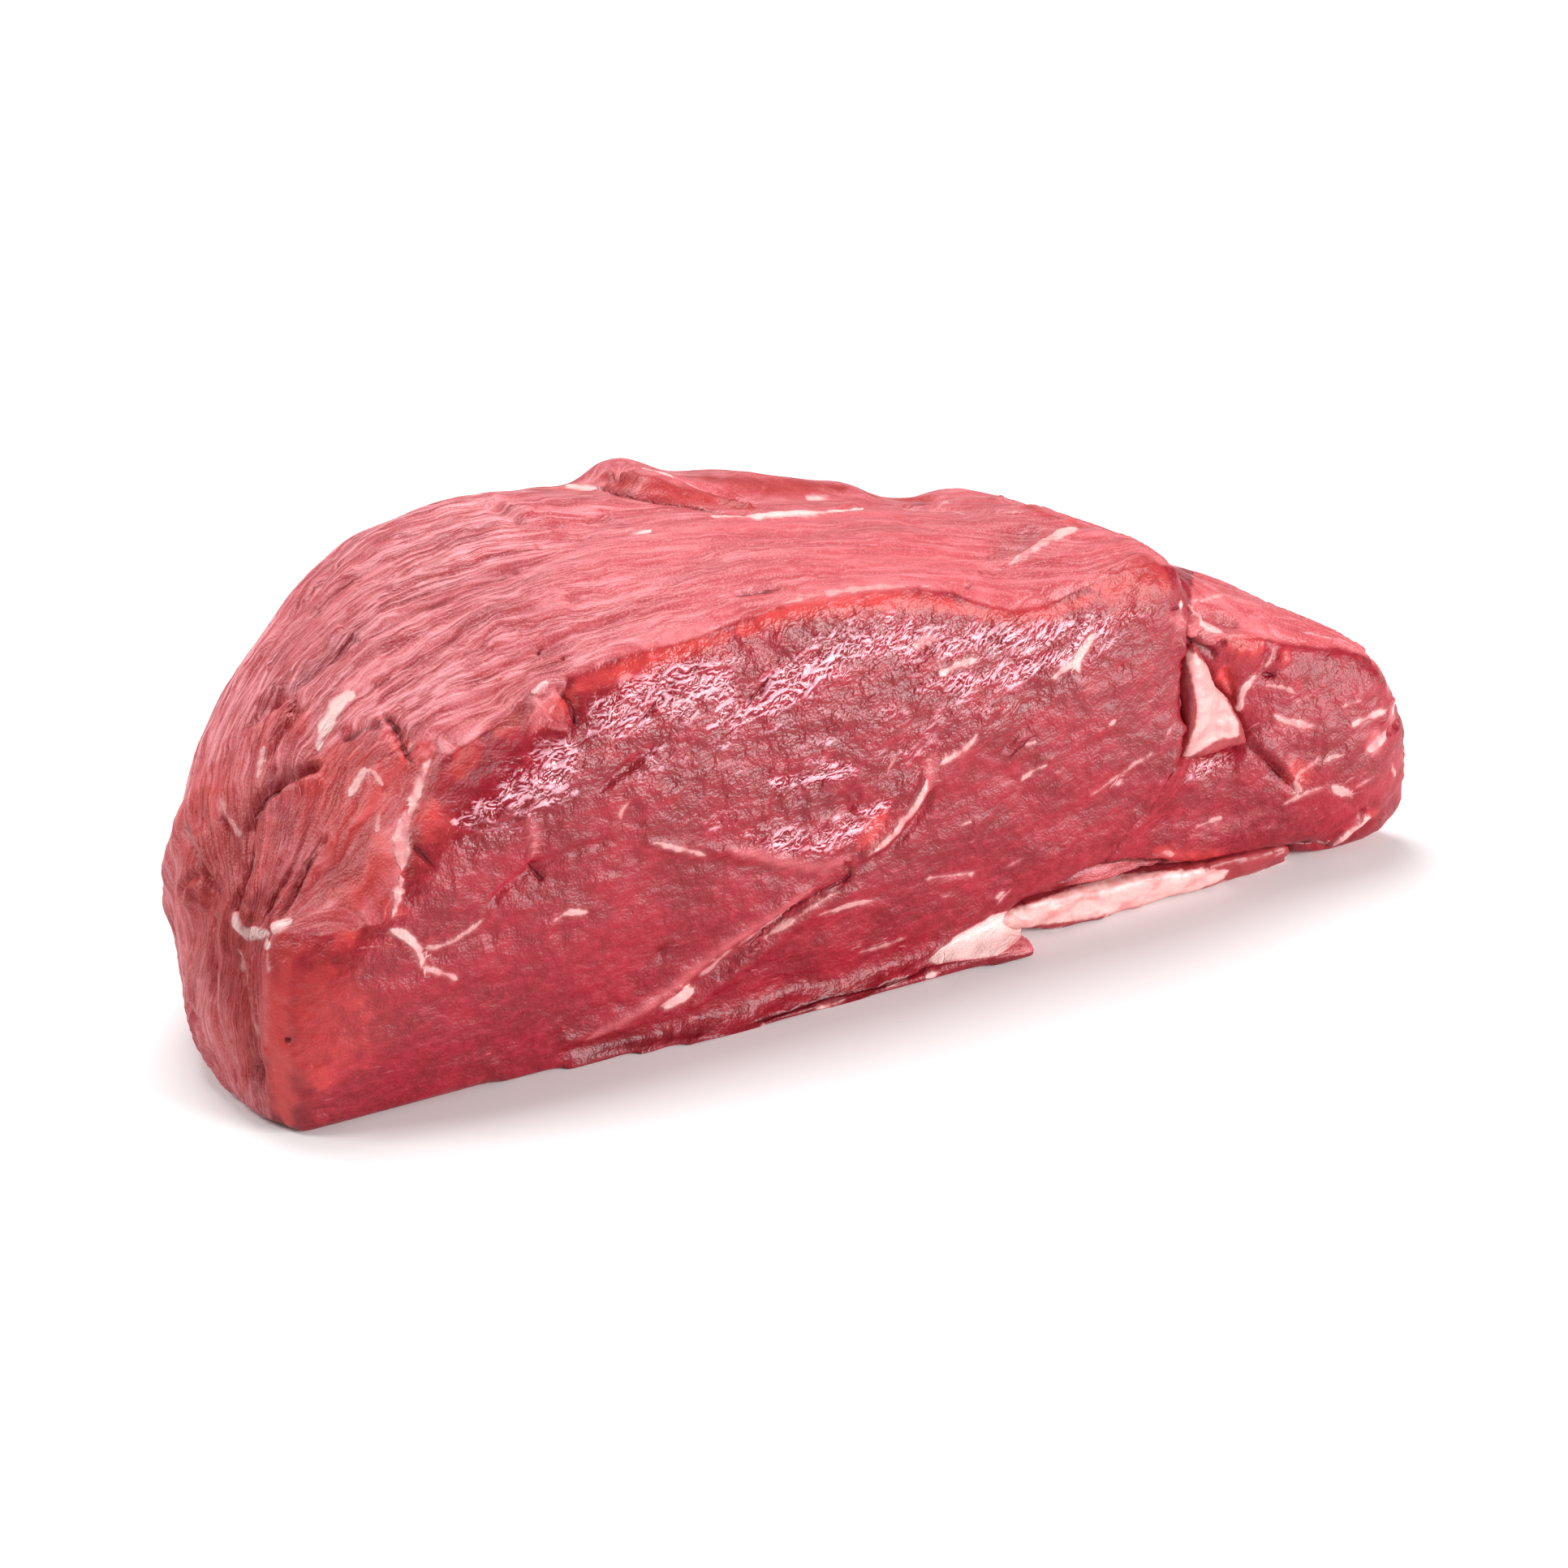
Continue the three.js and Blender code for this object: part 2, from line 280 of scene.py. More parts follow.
def rounded(pixels):
    """The line with its corners cut twice, so that it bends softly."""
    for _ in range(2):
        if len(pixels) < 3:
            return pixels
        cut = [pixels[0]]
        for (ax, ay), (bx, by) in zip(pixels[:-1], pixels[1:]):
            cut.append((0.75 * ax + 0.25 * bx, 0.75 * ay + 0.25 * by))
            cut.append((0.25 * ax + 0.75 * bx, 0.25 * ay + 0.75 * by))
        pixels = cut + [pixels[-1]]
    return pixels


def on_meat(pixels, tree):
    """The line on the meat, in mm, under a line of photo pixels."""
    found = []
    line = rounded(pixels)
    for (ax, ay), (bx, by) in zip(line[:-1], line[1:]):
        steps = max(1, round(math.hypot(bx - ax, by - ay) / PIXEL_STEP))
        for step in range(steps + 1):
            share = step / steps
            ray = photo_ray(ax + share * (bx - ax), ay + share * (by - ay))
            place = tree.ray_cast(eye, ray)[0]
            if place is not None:
                found.append(np.array(place) / MM)
    return np.array(found)


def distance_to(points, line, reach):
    """Each point's distance to the line, and how far along it (0 to 1) its nearest part is.
    Points further off than reach are left at infinity."""
    distance = np.full(len(points), np.inf)
    share = np.zeros(len(points))
    if not len(line):
        return distance, share
    near = np.flatnonzero(
        np.all((points > line.min(axis=0) - reach) & (points < line.max(axis=0) + reach), axis=1)
    )
    part = points[near]
    steps = np.linalg.norm(np.diff(line, axis=0), axis=1)
    run = np.concatenate(([0], np.cumsum(steps)))
    best, where = np.full(len(part), np.inf), np.zeros(len(part))
    for index in range(len(line) - 1):
        start, arm = line[index], line[index + 1] - line[index]
        size = max(arm @ arm, 1e-9)
        t = np.clip((part - start) @ arm / size, 0, 1)
        far = np.linalg.norm(part - start - t[:, None] * arm, axis=1)
        closer = far < best
        best[closer] = far[closer]
        where[closer] = run[index] + t[closer] * steps[index]
    distance[near] = best
    share[near] = where / max(run[-1], 1e-9)
    return distance, share


def taper(share):
    """Full width in the middle of a line, running out at both ends."""
    return np.sqrt(np.clip(np.sin(math.pi * share), 0, 1)) * 0.8 + 0.2


def noise_on(places, seed, octaves=3, roughness=1.0):
    """Soft noise from about -1 to 1 at each place."""
    shift = 17.3 * seed
    return np.array([
        noise.fractal((x + shift, y - shift, z), roughness, 2.0, octaves)
        for x, y, z in places.tolist()
    ])


def ridges_on(places, seed):
    """Noise with sharp crests, from 0 to 1, for crumpled and torn surfaces."""
    shift = 17.3 * seed
    found = np.array([
        noise.noise((x + shift, y - shift, z)) for x, y, z in places.tolist()
    ])
    return 1 - np.minimum(np.abs(found) * 3, 1)


WOBBLE = 0.45  # share of a mark's half width
flesh = points_of(clod)
wobble = noise_on(flesh / 3.2, 21, 2)
strength = 1 + 0.5 * noise_on(flesh / 5.0, 22, 2)


def along(pixels, half_width):
    """1 on the line, fading softly to 0 at about twice the half width. The line wobbles and
    its strength varies, as nothing in flesh is ruled."""
    distance, share = distance_to(flesh, on_meat(pixels, tree), 4 * half_width + 2)
    distance = distance + WOBBLE * half_width * wobble
    return strength * np.exp(-(distance / (half_width * taper(share))) ** 2)


tree = surface_tree(clod)
print("test ray meets the cut at", [round(v / MM, 1) for v in tree.ray_cast(eye, photo_ray(1000, 900))[0]])

# %% [markdown]
# ## Which side is which
# The knife left one cut face on the main muscle and one on the end muscle. Everything else is
# still under its skin. The outlines below are drawn on the photograph; a vertex belongs to the cut
# when it lies inside one of them and faces the camera.

# %% The cut faces
CUT_FACE = (
    (340, 1415), (322, 1300), (322, 1180), (345, 1150), (420, 1150), (470, 1138), (490, 1100),
    (500, 1030), (515, 960), (560, 925), (600, 900), (640, 895), (700, 900), (690, 860), (700, 838),
    (770, 808), (850, 788), (905, 768), (960, 747), (1000, 741), (1060, 732), (1120, 724),
    (1172, 730), (1220, 746), (1250, 752), (1293, 746), (1340, 722), (1385, 702), (1420, 694),
    (1470, 702), (1468, 760), (1470, 830), (1484, 855), (1474, 890), (1458, 935), (1434, 990),
    (1383, 1045), (1300, 1098), (1180, 1155), (1130, 1190), (1290, 1170), (1290, 1200),
    (1000, 1290), (600, 1420),
)
END_FACE = (
    (1468, 805), (1500, 790), (1565, 787), (1600, 795), (1650, 800), (1690, 812), (1712, 850),
    (1738, 868), (1755, 910), (1750, 970), (1722, 1030), (1640, 1050), (1560, 1075), (1450, 1062),
    (1390, 1060), (1300, 1098), (1383, 1045), (1434, 990), (1458, 935), (1474, 890), (1484, 855),
)
CUT_BLUR = 1.2  # mm
PIXELS_PER_MM = 5.36


def inside_by(pixels, outline):
    """How far inside the outline each pixel is, in mm; outside it is negative."""
    x, y = pixels[:, 0], pixels[:, 1]
    inside = np.zeros(len(x), dtype=bool)
    nearest = np.full(len(x), np.inf)
    for (ax, ay), (bx, by) in zip(outline, outline[1:] + outline[:1]):
        crosses = (ay > y) != (by > y)
        slope = (bx - ax) / (by - ay) if by != ay else 0
        inside ^= crosses & (x < ax + (y - ay) * slope)
        size = (bx - ax) ** 2 + (by - ay) ** 2
        t = np.clip(((x - ax) * (bx - ax) + (y - ay) * (by - ay)) / size, 0, 1)
        nearest = np.minimum(nearest, np.hypot(x - ax - t * (bx - ax), y - ay - t * (by - ay)))
    return np.where(inside, nearest, -nearest) / PIXELS_PER_MM


def ramp(values, low, high):
    """A soft step from 0 at low to 1 at high."""
    t = np.clip((values - low) / (high - low), 0, 1)
    return t * t * (3 - 2 * t)


outwards = normals_of(clod)
pixels = photo_pixels(flesh * MM)
towards = np.array(eye) - flesh * MM
facing = (outwards * towards).sum(axis=1) / np.linalg.norm(towards, axis=1)
front = ramp(facing, -0.1, 0.05)
cut = ramp(inside_by(pixels, CUT_FACE), -CUT_BLUR, CUT_BLUR) * front
end = ramp(inside_by(pixels, END_FACE), -CUT_BLUR, CUT_BLUR) * front
skin = np.clip(1 - cut - end, 0, 1)
print("cut vertices", int(cut.sum()), "end", int(end.sum()), "of", len(flesh))

# %% [markdown]
# ## Which way the fibres run
# Fibres decide how meat looks. Under the skin they start at the knot of fat on the left end, fan
# out over the top and run to the right. Some of them are drawn as guides on the photograph, each
# with its distance from the front edge at the middle of the top. A smooth function through all of
# them then says for any point how far across the fibres it lies.

# %% Fibre guides
FIBRE_GUIDES = {
    0: (
        ((335, 1152), (400, 1120), (470, 1090), (500, 1010), (533, 930), (580, 885), (640, 850),
         (700, 826), (770, 800), (850, 780), (960, 740), (1120, 712), (1220, 728), (1293, 735),
         (1413, 684)),
        ((326, 1180), (326, 1300), (342, 1385)),
    ),
    13: (
        ((330, 1130), (370, 1060), (405, 980), (450, 905), (520, 850), (620, 798), (760, 752),
         (900, 715), (1050, 695), (1200, 698), (1330, 700), (1420, 674)),
        ((316, 1180), (314, 1250), (326, 1330), (338, 1385)),
    ),
    28: (
        ((316, 1120), (338, 1040), (352, 960), (382, 890), (440, 820), (540, 760), (680, 710),
         (820, 680), (1000, 664), (1180, 668), (1330, 672), (1400, 664)),
        ((304, 1180), (300, 1250), (310, 1320), (326, 1378)),
    ),
    45: (
        ((302, 1120), (306, 1040), (300, 960), (330, 870), (392, 790), (480, 722), (600, 682),
         (760, 654), (900, 644), (1050, 643), (1250, 643), (1340, 648)),
        ((292, 1180), (284, 1250), (292, 1310), (310, 1368)),
    ),
    62: (
        ((286, 1110), (272, 1040), (262, 960), (290, 875), (346, 785), (420, 706), (520, 656),
         (640, 630), (760, 624), (900, 626), (1060, 622)),
        ((276, 1180), (264, 1240), (270, 1300), (288, 1350)),
        ((1470, 745), (1540, 765), (1640, 792), (1700, 815)),
    ),
    76: (
        ((262, 1110), (236, 1040), (234, 970), (266, 875), (322, 785), (390, 698), (470, 640),
         (560, 612), (640, 604), (740, 600)),
        ((254, 1180), (236, 1240), (242, 1290)),
        ((1476, 718), (1560, 742), (1660, 786), (1735, 850)),
    ),
}
BACK_GUIDES = {  # the same below the back edge, where each runs along the piece: depth, height
    96: (64, 72), 122: (67, 40), 150: (60, 6), 180: (32, 0), 212: (0, 0), 245: (-34, 0),
}
BACK_ENDS = (-130, 130, 9)
KNOT = np.array([-150.0, -58.9, 48.6])
GUIDE_STEP = 5


def guide_points():
    places, amounts = [], []
    for amount, lines in FIBRE_GUIDES.items():
        for line in lines:
            found = on_meat(line, tree)[::GUIDE_STEP]
            places.append(found)
            amounts += [amount] * len(found)
    for amount, (depth, height) in BACK_GUIDES.items():
        for x in np.linspace(*BACK_ENDS):
            places.append(np.array([[x, depth, height]]))
            amounts.append(amount)
    return np.vstack(places), np.array(amounts, dtype=float)


def smooth_through(places, amounts, at):
    """A smooth function that has the given amounts at the given places, read at other points."""
    count = len(places)
    table = np.ones((count + 1, count + 1))
    table[:count, :count] = np.linalg.norm(places[:, None] - places[None], axis=2)
    table[:count, :count] -= 1.5 * np.eye(count)
    table[count, count] = 0
    weights = np.linalg.solve(table, np.append(amounts, 0))
    found = np.full(len(at), weights[-1])
    for place, weight in zip(places, weights):
        found += weight * np.linalg.norm(at - place, axis=1)
    return found


guides, distances = guide_points()
across_skin = smooth_through(guides, distances, flesh)
grain_skin = np.column_stack((
    np.linalg.norm(flesh - KNOT, axis=1), across_skin, np.zeros(len(flesh))
))
print(len(guides), "guide points, fibres from", round(across_skin.min()), "to", round(across_skin.max()))

# %% [markdown]
# On the cut face the fibres run along the piece and turn upwards towards the right.

# %% Fibres of the cut
GRAIN_SLOPE = 0.42
GRAIN_TURN = (20.0, 25.0)  # where the fibres turn upwards, and over what length


def cut_grain(at):
    middle, width = GRAIN_TURN
    rise = GRAIN_SLOPE * width * np.logaddexp(0, (at[:, 0] - middle) / width)
    return np.column_stack((at[:, 0] + 0.3 * at[:, 2], at[:, 2] - rise, 0.5 * at[:, 1]))


def scaled(places, lengths):
    return places / np.array(lengths)


grain_cut = cut_grain(flesh)
print("fibres of the cut from", np.round(grain_cut.min(axis=0)), "to", np.round(grain_cut.max(axis=0)))

# %% [markdown]
# ## Sculpting
# First the broad lumps that any soft muscle has, then the folds of the skin along the fibres, and
# then the marks from the photograph: half width in mm, height in mm (below zero sinks), line.

# %% Folds, ridges and cracks
FOLDS = {
    # half width and height in mm, line
    # left end
    "edge of the left flap": (1.6, -2.2, (
        (395, 944), (345, 965), (322, 990), (308, 1020), (311, 1056), (300, 1092), (290, 1122))),
    "back of the left flap": (3.0, 1.3, (
        (400, 958), (352, 978), (330, 1000), (320, 1030), (322, 1060), (312, 1092), (303, 1122))),
    "first gather": (1.0, -1.4, ((402, 1032), (376, 1070), (362, 1105), (343, 1133))),
    "first gather ridge": (1.3, 0.9, ((410, 1036), (383, 1075), (370, 1105), (352, 1133))),
    "second gather": (0.9, -1.2, ((358, 1074), (340, 1099), (326, 1132))),
    "second gather ridge": (1.2, 0.7, ((367, 1070), (350, 1102), (334, 1132))),
    "far left fold": (1.4, -1.4, ((226, 1020), (236, 1048), (248, 1072), (268, 1098))),
    "far left ridge": (2.0, 1.0, ((238, 1020), (246, 1040), (258, 1064), (276, 1090))),
    "left loop": (1.2, -1.2, ((222, 1104), (230, 1078), (252, 1078), (260, 1112), (262, 1146))),
    "left loop ridge": (1.8, 1.1, ((231, 1115), (240, 1092), (250, 1092), (252, 1120))),
    "left nick": (1.2, -1.4, ((212, 1190), (222, 1205), (231, 1240), (240, 1262))),
    "left middle fold": (1.1, -1.3, ((276, 1010), (288, 1040), (293, 1086))),
    "left low fold one": (1.1, -1.0, ((294, 1176), (299, 1232), (312, 1290), (322, 1340))),
    "left low fold two": (1.2, -1.0, ((262, 1180), (262, 1240), (272, 1300), (300, 1358))),
    "left low fold three": (1.2, -0.8, ((236, 1220), (246, 1290), (276, 1350))),
    "left low ridge": (1.6, 0.7, ((280, 1180), (280, 1240), (292, 1310), (312, 1365))),
    "knot one": (1.9, 1.3, ((293, 1128), (297, 1148))),
    "knot two": (1.9, 1.3, ((314, 1144), (322, 1152))),
    "knot three": (1.8, 1.4, ((336, 1145), (352, 1139))),
    "corner pit": (1.6, -1.3, ((312, 1314), (322, 1328))),
    # upper left
    "slit above the streak": (1.1, -1.9, ((470, 880), (490, 898), (494, 915), (505, 938))),
    "flap above the streak": (2.2, 1.0, ((424, 902), (448, 888), (466, 882), (480, 893))),
    "flap step": (1.2, -1.2, ((425, 911), (448, 898), (468, 893))),
    "left trough": (2.4, -1.5, ((437, 784), (397, 817), (360, 848), (338, 866))),
    "left trough ridge": (2.4, 1.1, ((420, 775), (384, 806), (350, 838), (322, 868))),
    "left slit": (0.9, -1.5, ((364, 856), (358, 880))),
    "flap edge one": (1.1, -1.3, ((300, 901), (334, 872), (356, 857))),
    "flap edge two": (1.1, -1.5, ((329, 938), (342, 908), (374, 874))),
    "flap ridge two": (2.0, 1.0, ((338, 945), (352, 912), (384, 880))),
    "shoulder fold one": (1.5, -1.3, ((318, 820), (345, 765), (398, 709), (420, 690))),
    "shoulder ridge one": (2.2, 1.2, ((330, 825), (358, 772), (408, 722), (440, 696))),
    "shoulder fold two": (1.2, -0.9, ((461, 716), (511, 702), (540, 694))),
    "shoulder fold three": (1.2, -1.0, ((380, 760), (420, 720), (470, 690))),
    "long ridge": (1.6, 0.8, ((429, 782), (464, 764), (523, 738), (580, 714), (646, 688), (710, 671))),
    "long fold": (1.1, -0.9, ((440, 790), (500, 760), (560, 734), (640, 703))),
    "back fold": (1.6, -1.4, ((596, 620), (622, 634), (642, 643))),
    "back fold ridge": (2.0, 0.9, ((606, 612), (632, 624), (656, 634))),
    "smooth lens one": (3.2, -0.9, ((686, 650), (720, 644), (757, 640))),
    "smooth lens two": (3.2, -0.9, ((640, 681), (680, 672), (722, 660))),
    "top groove": (1.2, -1.1, ((903, 731), (930, 727), (962, 723))),
    "top groove ridge": (1.8, 0.6, ((890, 742), (930, 738), (985, 730))),
    "right hollow": (5.5, -1.2, ((1222, 684), (1250, 670), (1272, 656))),
    "streak bank": (2.2, 1.0, ((1324, 652), (1288, 670), (1258, 688))),
    "pit one": (1.0, -1.4, ((1192, 716), (1195, 724))),
    "pit two": (0.9, -1.2, ((1262, 649), (1266, 652))),
    "pit three": (0.8, -1.0, ((662, 801), (665, 803))),
    "pit four": (0.9, -1.0, ((693, 810), (696, 812))),
    # pink bump at the top of the cut
    "pink bump": (5.6, 1.6, ((662, 874), (674, 882))),
    "bump crease": (1.2, -1.6, ((684, 849), (701, 862), (708, 888))),
    "cream on the bump": (1.6, 0.7, ((675, 843), (653, 860), (633, 870))),
    # back rim
    "roll": (2.6, 1.6, ((770, 592), (800, 600), (845, 612), (890, 622), (922, 625))),
    "roll head": (3.6, 1.3, ((748, 588), (762, 586))),
    "under the roll": (1.3, -2.2, ((738, 601), (785, 613), (835, 622), (896, 632), (930, 630))),
    "behind the roll": (1.4, -1.4, ((805, 583), (850, 596), (902, 612), (935, 620))),
    "roll notch": (0.9, -1.3, ((776, 563), (780, 573))),
    "rim fold": (1.3, -2.0, ((1064, 607), (1088, 616), (1112, 624), (1140, 624))),
    "rim fold right": (1.0, -1.1, ((1140, 625), (1190, 628), (1260, 631))),
    "rim lump one": (2.6, 0.9, ((1150, 613), (1170, 611))),
    "rim lump two": (2.6, 1.0, ((1225, 616), (1250, 616))),
    # cut face
    "seam crack": (0.9, -1.5, (
        (1040, 1060), (1049, 1074), (1044, 1086), (1022, 1094), (992, 1112), (940, 1150))),
    "seam hollow": (2.0, -0.9, ((1010, 1100), (940, 1152), (880, 1195), (835, 1228))),
    "seam lower bank": (2.4, 0.9, ((1060, 1092), (1010, 1118), (945, 1166), (885, 1212), (850, 1240))),
    "seam upper bank": (2.0, 0.6, ((1000, 1088), (930, 1135), (870, 1180), (820, 1216))),
    "oval hollow": (9.0, -0.9, ((950, 1005), (1050, 985))),
    "oval right bank": (2.2, 1.1, ((1140, 957), (1133, 979), (1118, 1005), (1096, 1031), (1060, 1056))),
    "oval right groove": (1.2, -1.0, ((1150, 975), (1140, 998), (1118, 1028), (1085, 1056), (1058, 1070))),
    "oval low bank": (1.8, 0.7, ((800, 1036), (850, 1046), (930, 1050), (1000, 1066), (1050, 1058))),
    "left notch": (1.0, -1.5, ((655, 1066), (662, 1076), (670, 1087))),
    "left cell ridge": (1.4, 0.7, ((656, 1056), (659, 1028), (647, 1005), (652, 990))),
    "left cell step": (1.1, -0.9, ((600, 1120), (640, 1080), (700, 1050), (760, 1036))),
    "second notch": (1.0, -0.9, ((676, 1146), (690, 1152), (690, 1170))),
    "third notch": (1.1, -1.1, ((812, 1172), (820, 1180))),
    "low crack one": (0.8, -0.7, ((362, 1308), (384, 1311), (404, 1307))),
    "low crack two": (0.8, -0.6, ((369, 1366), (388, 1369), (406, 1366))),
    "clear zone crack": (0.9, -0.9, ((508, 1042), (522, 1056), (536, 1070))),
    "corner nick": (1.0, -1.2, ((350, 1280), (356, 1285))),
    "low fold upper": (2.6, 1.0, ((690, 1282), (750, 1263), (805, 1240), (840, 1216))),
    "low fold": (2.2, -1.3, ((690, 1300), (740, 1288), (800, 1280), (860, 1275))),
    "lip groove": (1.1, -1.5, (
        (905, 1268), (957, 1250), (1010, 1230), (1060, 1222), (1110, 1206), (1140, 1192))),
    "streak groove": (1.4, -0.7, ((538, 925), (520, 965), (508, 1010), (500, 1045), (502, 1092))),
    "right pit": (0.9, -1.1, ((1380, 820), (1385, 824))),
    "slanted groove one": (1.0, -0.8, ((785, 895), (812, 862), (838, 828))),
    "slanted groove two": (1.1, -0.9, ((735, 976), (775, 944), (812, 915))),
    "slanted groove three": (0.9, -0.7, ((918, 868), (938, 848), (956, 827))),
    "slanted groove four": (0.9, -0.7, ((1238, 925), (1252, 905), (1275, 888))),
    # end muscle
    "edge of the main muscle": (2.0, 1.0, (
        (1459, 762), (1456, 800), (1464, 850), (1456, 900), (1436, 955), (1404, 1004), (1372, 1040))),
    "gap beside the main muscle": (1.1, -1.8, ((1466, 760), (1468, 790), (1465, 800))),
    "overlap line": (1.0, -1.5, (
        (1457, 930), (1443, 952), (1432, 976), (1416, 1002), (1388, 1034), (1366, 1062))),
    "shade above the under fat": (1.6, -2.6, ((1290, 1100), (1345, 1076), (1390, 1070), (1452, 1066))),
    "hollow behind the corner": (3.0, -1.7, ((1474, 752), (1498, 762), (1524, 772))),
    "ledge": (1.1, 1.8, ((1462, 752), (1482, 768), (1504, 781), (1530, 783))),
    "hollow under the ledge": (1.6, -2.0, ((1467, 790), (1484, 800), (1499, 806))),
    "brown lump": (2.6, 1.3, ((1476, 788), (1496, 790))),
    "orange lump": (3.4, 1.8, ((1510, 795), (1535, 793), (1556, 797))),
    "second lump": (2.4, 1.2, ((1576, 806), (1586, 812))),
    "wet hollow": (2.4, -1.7, ((1510, 826), (1514, 846), (1518, 866))),
    "crease by the lumps": (0.9, -1.0, ((1563, 802), (1558, 822), (1545, 836))),
    "dark dent": (1.3, -1.1, ((1556, 832), (1570, 833))),
    "flap of the end muscle": (2.4, 1.5, ((1532, 900), (1560, 920), (1586, 948), (1598, 962))),
    "under the flap": (1.0, -1.5, ((1530, 912), (1556, 934), (1582, 962), (1596, 974))),
    "wet zone": (5.0, -1.0, ((1470, 950), (1500, 930), (1530, 925))),
    "low dark bulge": (2.0, -1.6, ((1577, 1044), (1612, 1040), (1640, 1047))),
    "low notch": (1.0, -1.4, ((1675, 1000), (1680, 1004))),
    "low fat edge": (1.4, 1.1, ((1690, 1004), (1675, 1015), (1659, 1027), (1640, 1040))),
    "pit of the end muscle": (1.0, -1.5, ((1436, 1012), (1438, 1014))),
    "tip crease": (1.1, -1.4, ((1738, 868), (1722, 896), (1712, 905))),
    "tip ridge": (2.0, 0.8, ((1722, 850), (1712, 872), (1704, 890))),
    "top edge of the end": (1.2, 0.8, ((1599, 776), (1638, 788), (1664, 796), (1690, 808))),
    "top furrow of the end": (1.6, -0.9, ((1480, 735), (1530, 748), (1580, 762))),
}


BROAD = 0.9  # mm
broad = noise_on(scaled(flesh, (26, 26, 20)), 1, 2)
skin_fold = noise_on(scaled(grain_skin, (45, 7, 1)), 2, 3)
skin_fine = noise_on(scaled(grain_skin, (24, 3.0, 1)), 3, 2)
skin_crease = ridges_on(scaled(grain_skin, (34, 6.0, 1)), 8)
cut_fold = noise_on(scaled(grain_cut, (16, 8, 7)), 4, 3)
cut_fine = noise_on(scaled(grain_cut, (5, 2.8, 2.8)), 5, 2)
rise = BROAD * broad  # mm, as the factors below are
rise += skin * (0.7 * skin_fold + 0.3 * skin_fine - 0.5 * skin_crease ** 3)
rise += (1 - skin) * (0.45 * cut_fold + 0.22 * cut_fine)
for half_width, height, line in FOLDS.values():
    rise += height * along(line, half_width)
print("rise from", round(rise.min(), 1), "to", round(rise.max(), 1), "mm")

# %% [markdown]
# The wet band near the top of the cut looks like crumpled foil: small facets, drawn out along
# the fibres, with sharp grooves between them.

# %% The crumpled wet band
WET_BANDS = {
    "left": (6.0, ((610, 985), (660, 960), (710, 930))),
    "middle": (7.5, ((730, 905), (790, 855), (850, 830), (905, 845))),
    "high": (5.0, ((880, 895), (960, 850), (1040, 800), (1120, 775))),
    "right": (3.8, ((1060, 800), (1180, 790), (1300, 780), (1420, 755))),
    "right low": (3.0, ((1130, 850), (1230, 835), (1330, 800))),
    "oval": (2.6, ((950, 970), (1000, 960), (1050, 945))),
    "oval low": (3.4, ((930, 1035), (1000, 1040), (1060, 1020), (1100, 985))),
    "end muscle": (2.6, ((1455, 970), (1480, 950), (1515, 935))),
    "clear left": (3.0, ((560, 1010), (590, 1000), (620, 990))),
}
WET_CUT = [
    (548, 1030), (575, 990), (610, 950), (650, 905), (700, 885), (740, 860), (800, 815), (860, 795),
    (930, 765), (1000, 748), (1080, 742), (1160, 750), (1230, 765), (1300, 762), (1370, 770), (1400, 800),
    (1330, 850), (1250, 900), (1190, 925), (1150, 940), (1120, 1000), (1060, 1045), (1000, 1062),
    (930, 1045), (860, 1030), (790, 1000), (740, 990), (700, 1010), (660, 1030), (620, 1060), (580, 1070),
]
WET_EVERYWHERE = 0.3  # inside WET_CUT
bands = np.zeros(len(flesh))
for half_width, line in WET_BANDS.values():
    bands = np.maximum(bands, along(line, half_width))
moist = WET_EVERYWHERE * ramp(inside_by(pixels, WET_CUT), -1.5, 3) * front
moist *= 1 + 0.7 * noise_on(scaled(flesh, (9, 9, 6)), 9, 2)
wet = np.clip(moist + 0.7 * bands, 0, 1) * (1 - skin)
slanted = np.column_stack((
    flesh[:, 0] + 0.5 * flesh[:, 2], flesh[:, 2] - 0.52 * flesh[:, 0], 0.5 * flesh[:, 1]
))
crumple = ridges_on(scaled(slanted, (5.5, 2.6, 4)), 6)
grooves = ridges_on(scaled(slanted, (14, 5, 9)), 7)
rise -= wet * (0.4 * crumple ** 2 + 0.5 * grooves ** 4)

# %% [markdown]
# The foot stays where it is, flat on the board, and nothing leaves the box of the solids.

# %% Move the points
FOOT_FREE = 4.0  # mm above the board before the folds are at full height
rise *= ramp(flesh[:, 2], 0.6, FOOT_FREE)
low, high = np.array(cad_low) / MM, np.array(cad_high) / MM
sculpted = np.clip(flesh + rise[:, None] * outwards, low, high)
set_points(clod, sculpted)
print("size in mm", np.round(sculpted.max(axis=0) - sculpted.min(axis=0), 1))

# %% [markdown]
# ## Fat, cracks and tints as numbers on the surface
# The colour of a point depends on what the knife left there. Thin veins and cracks are stored as
# the signed distance to their middle line and their half width, because a signed distance stays
# exact between vertices, so that a 1 mm vein has a clean edge. Broad patches are soft values.

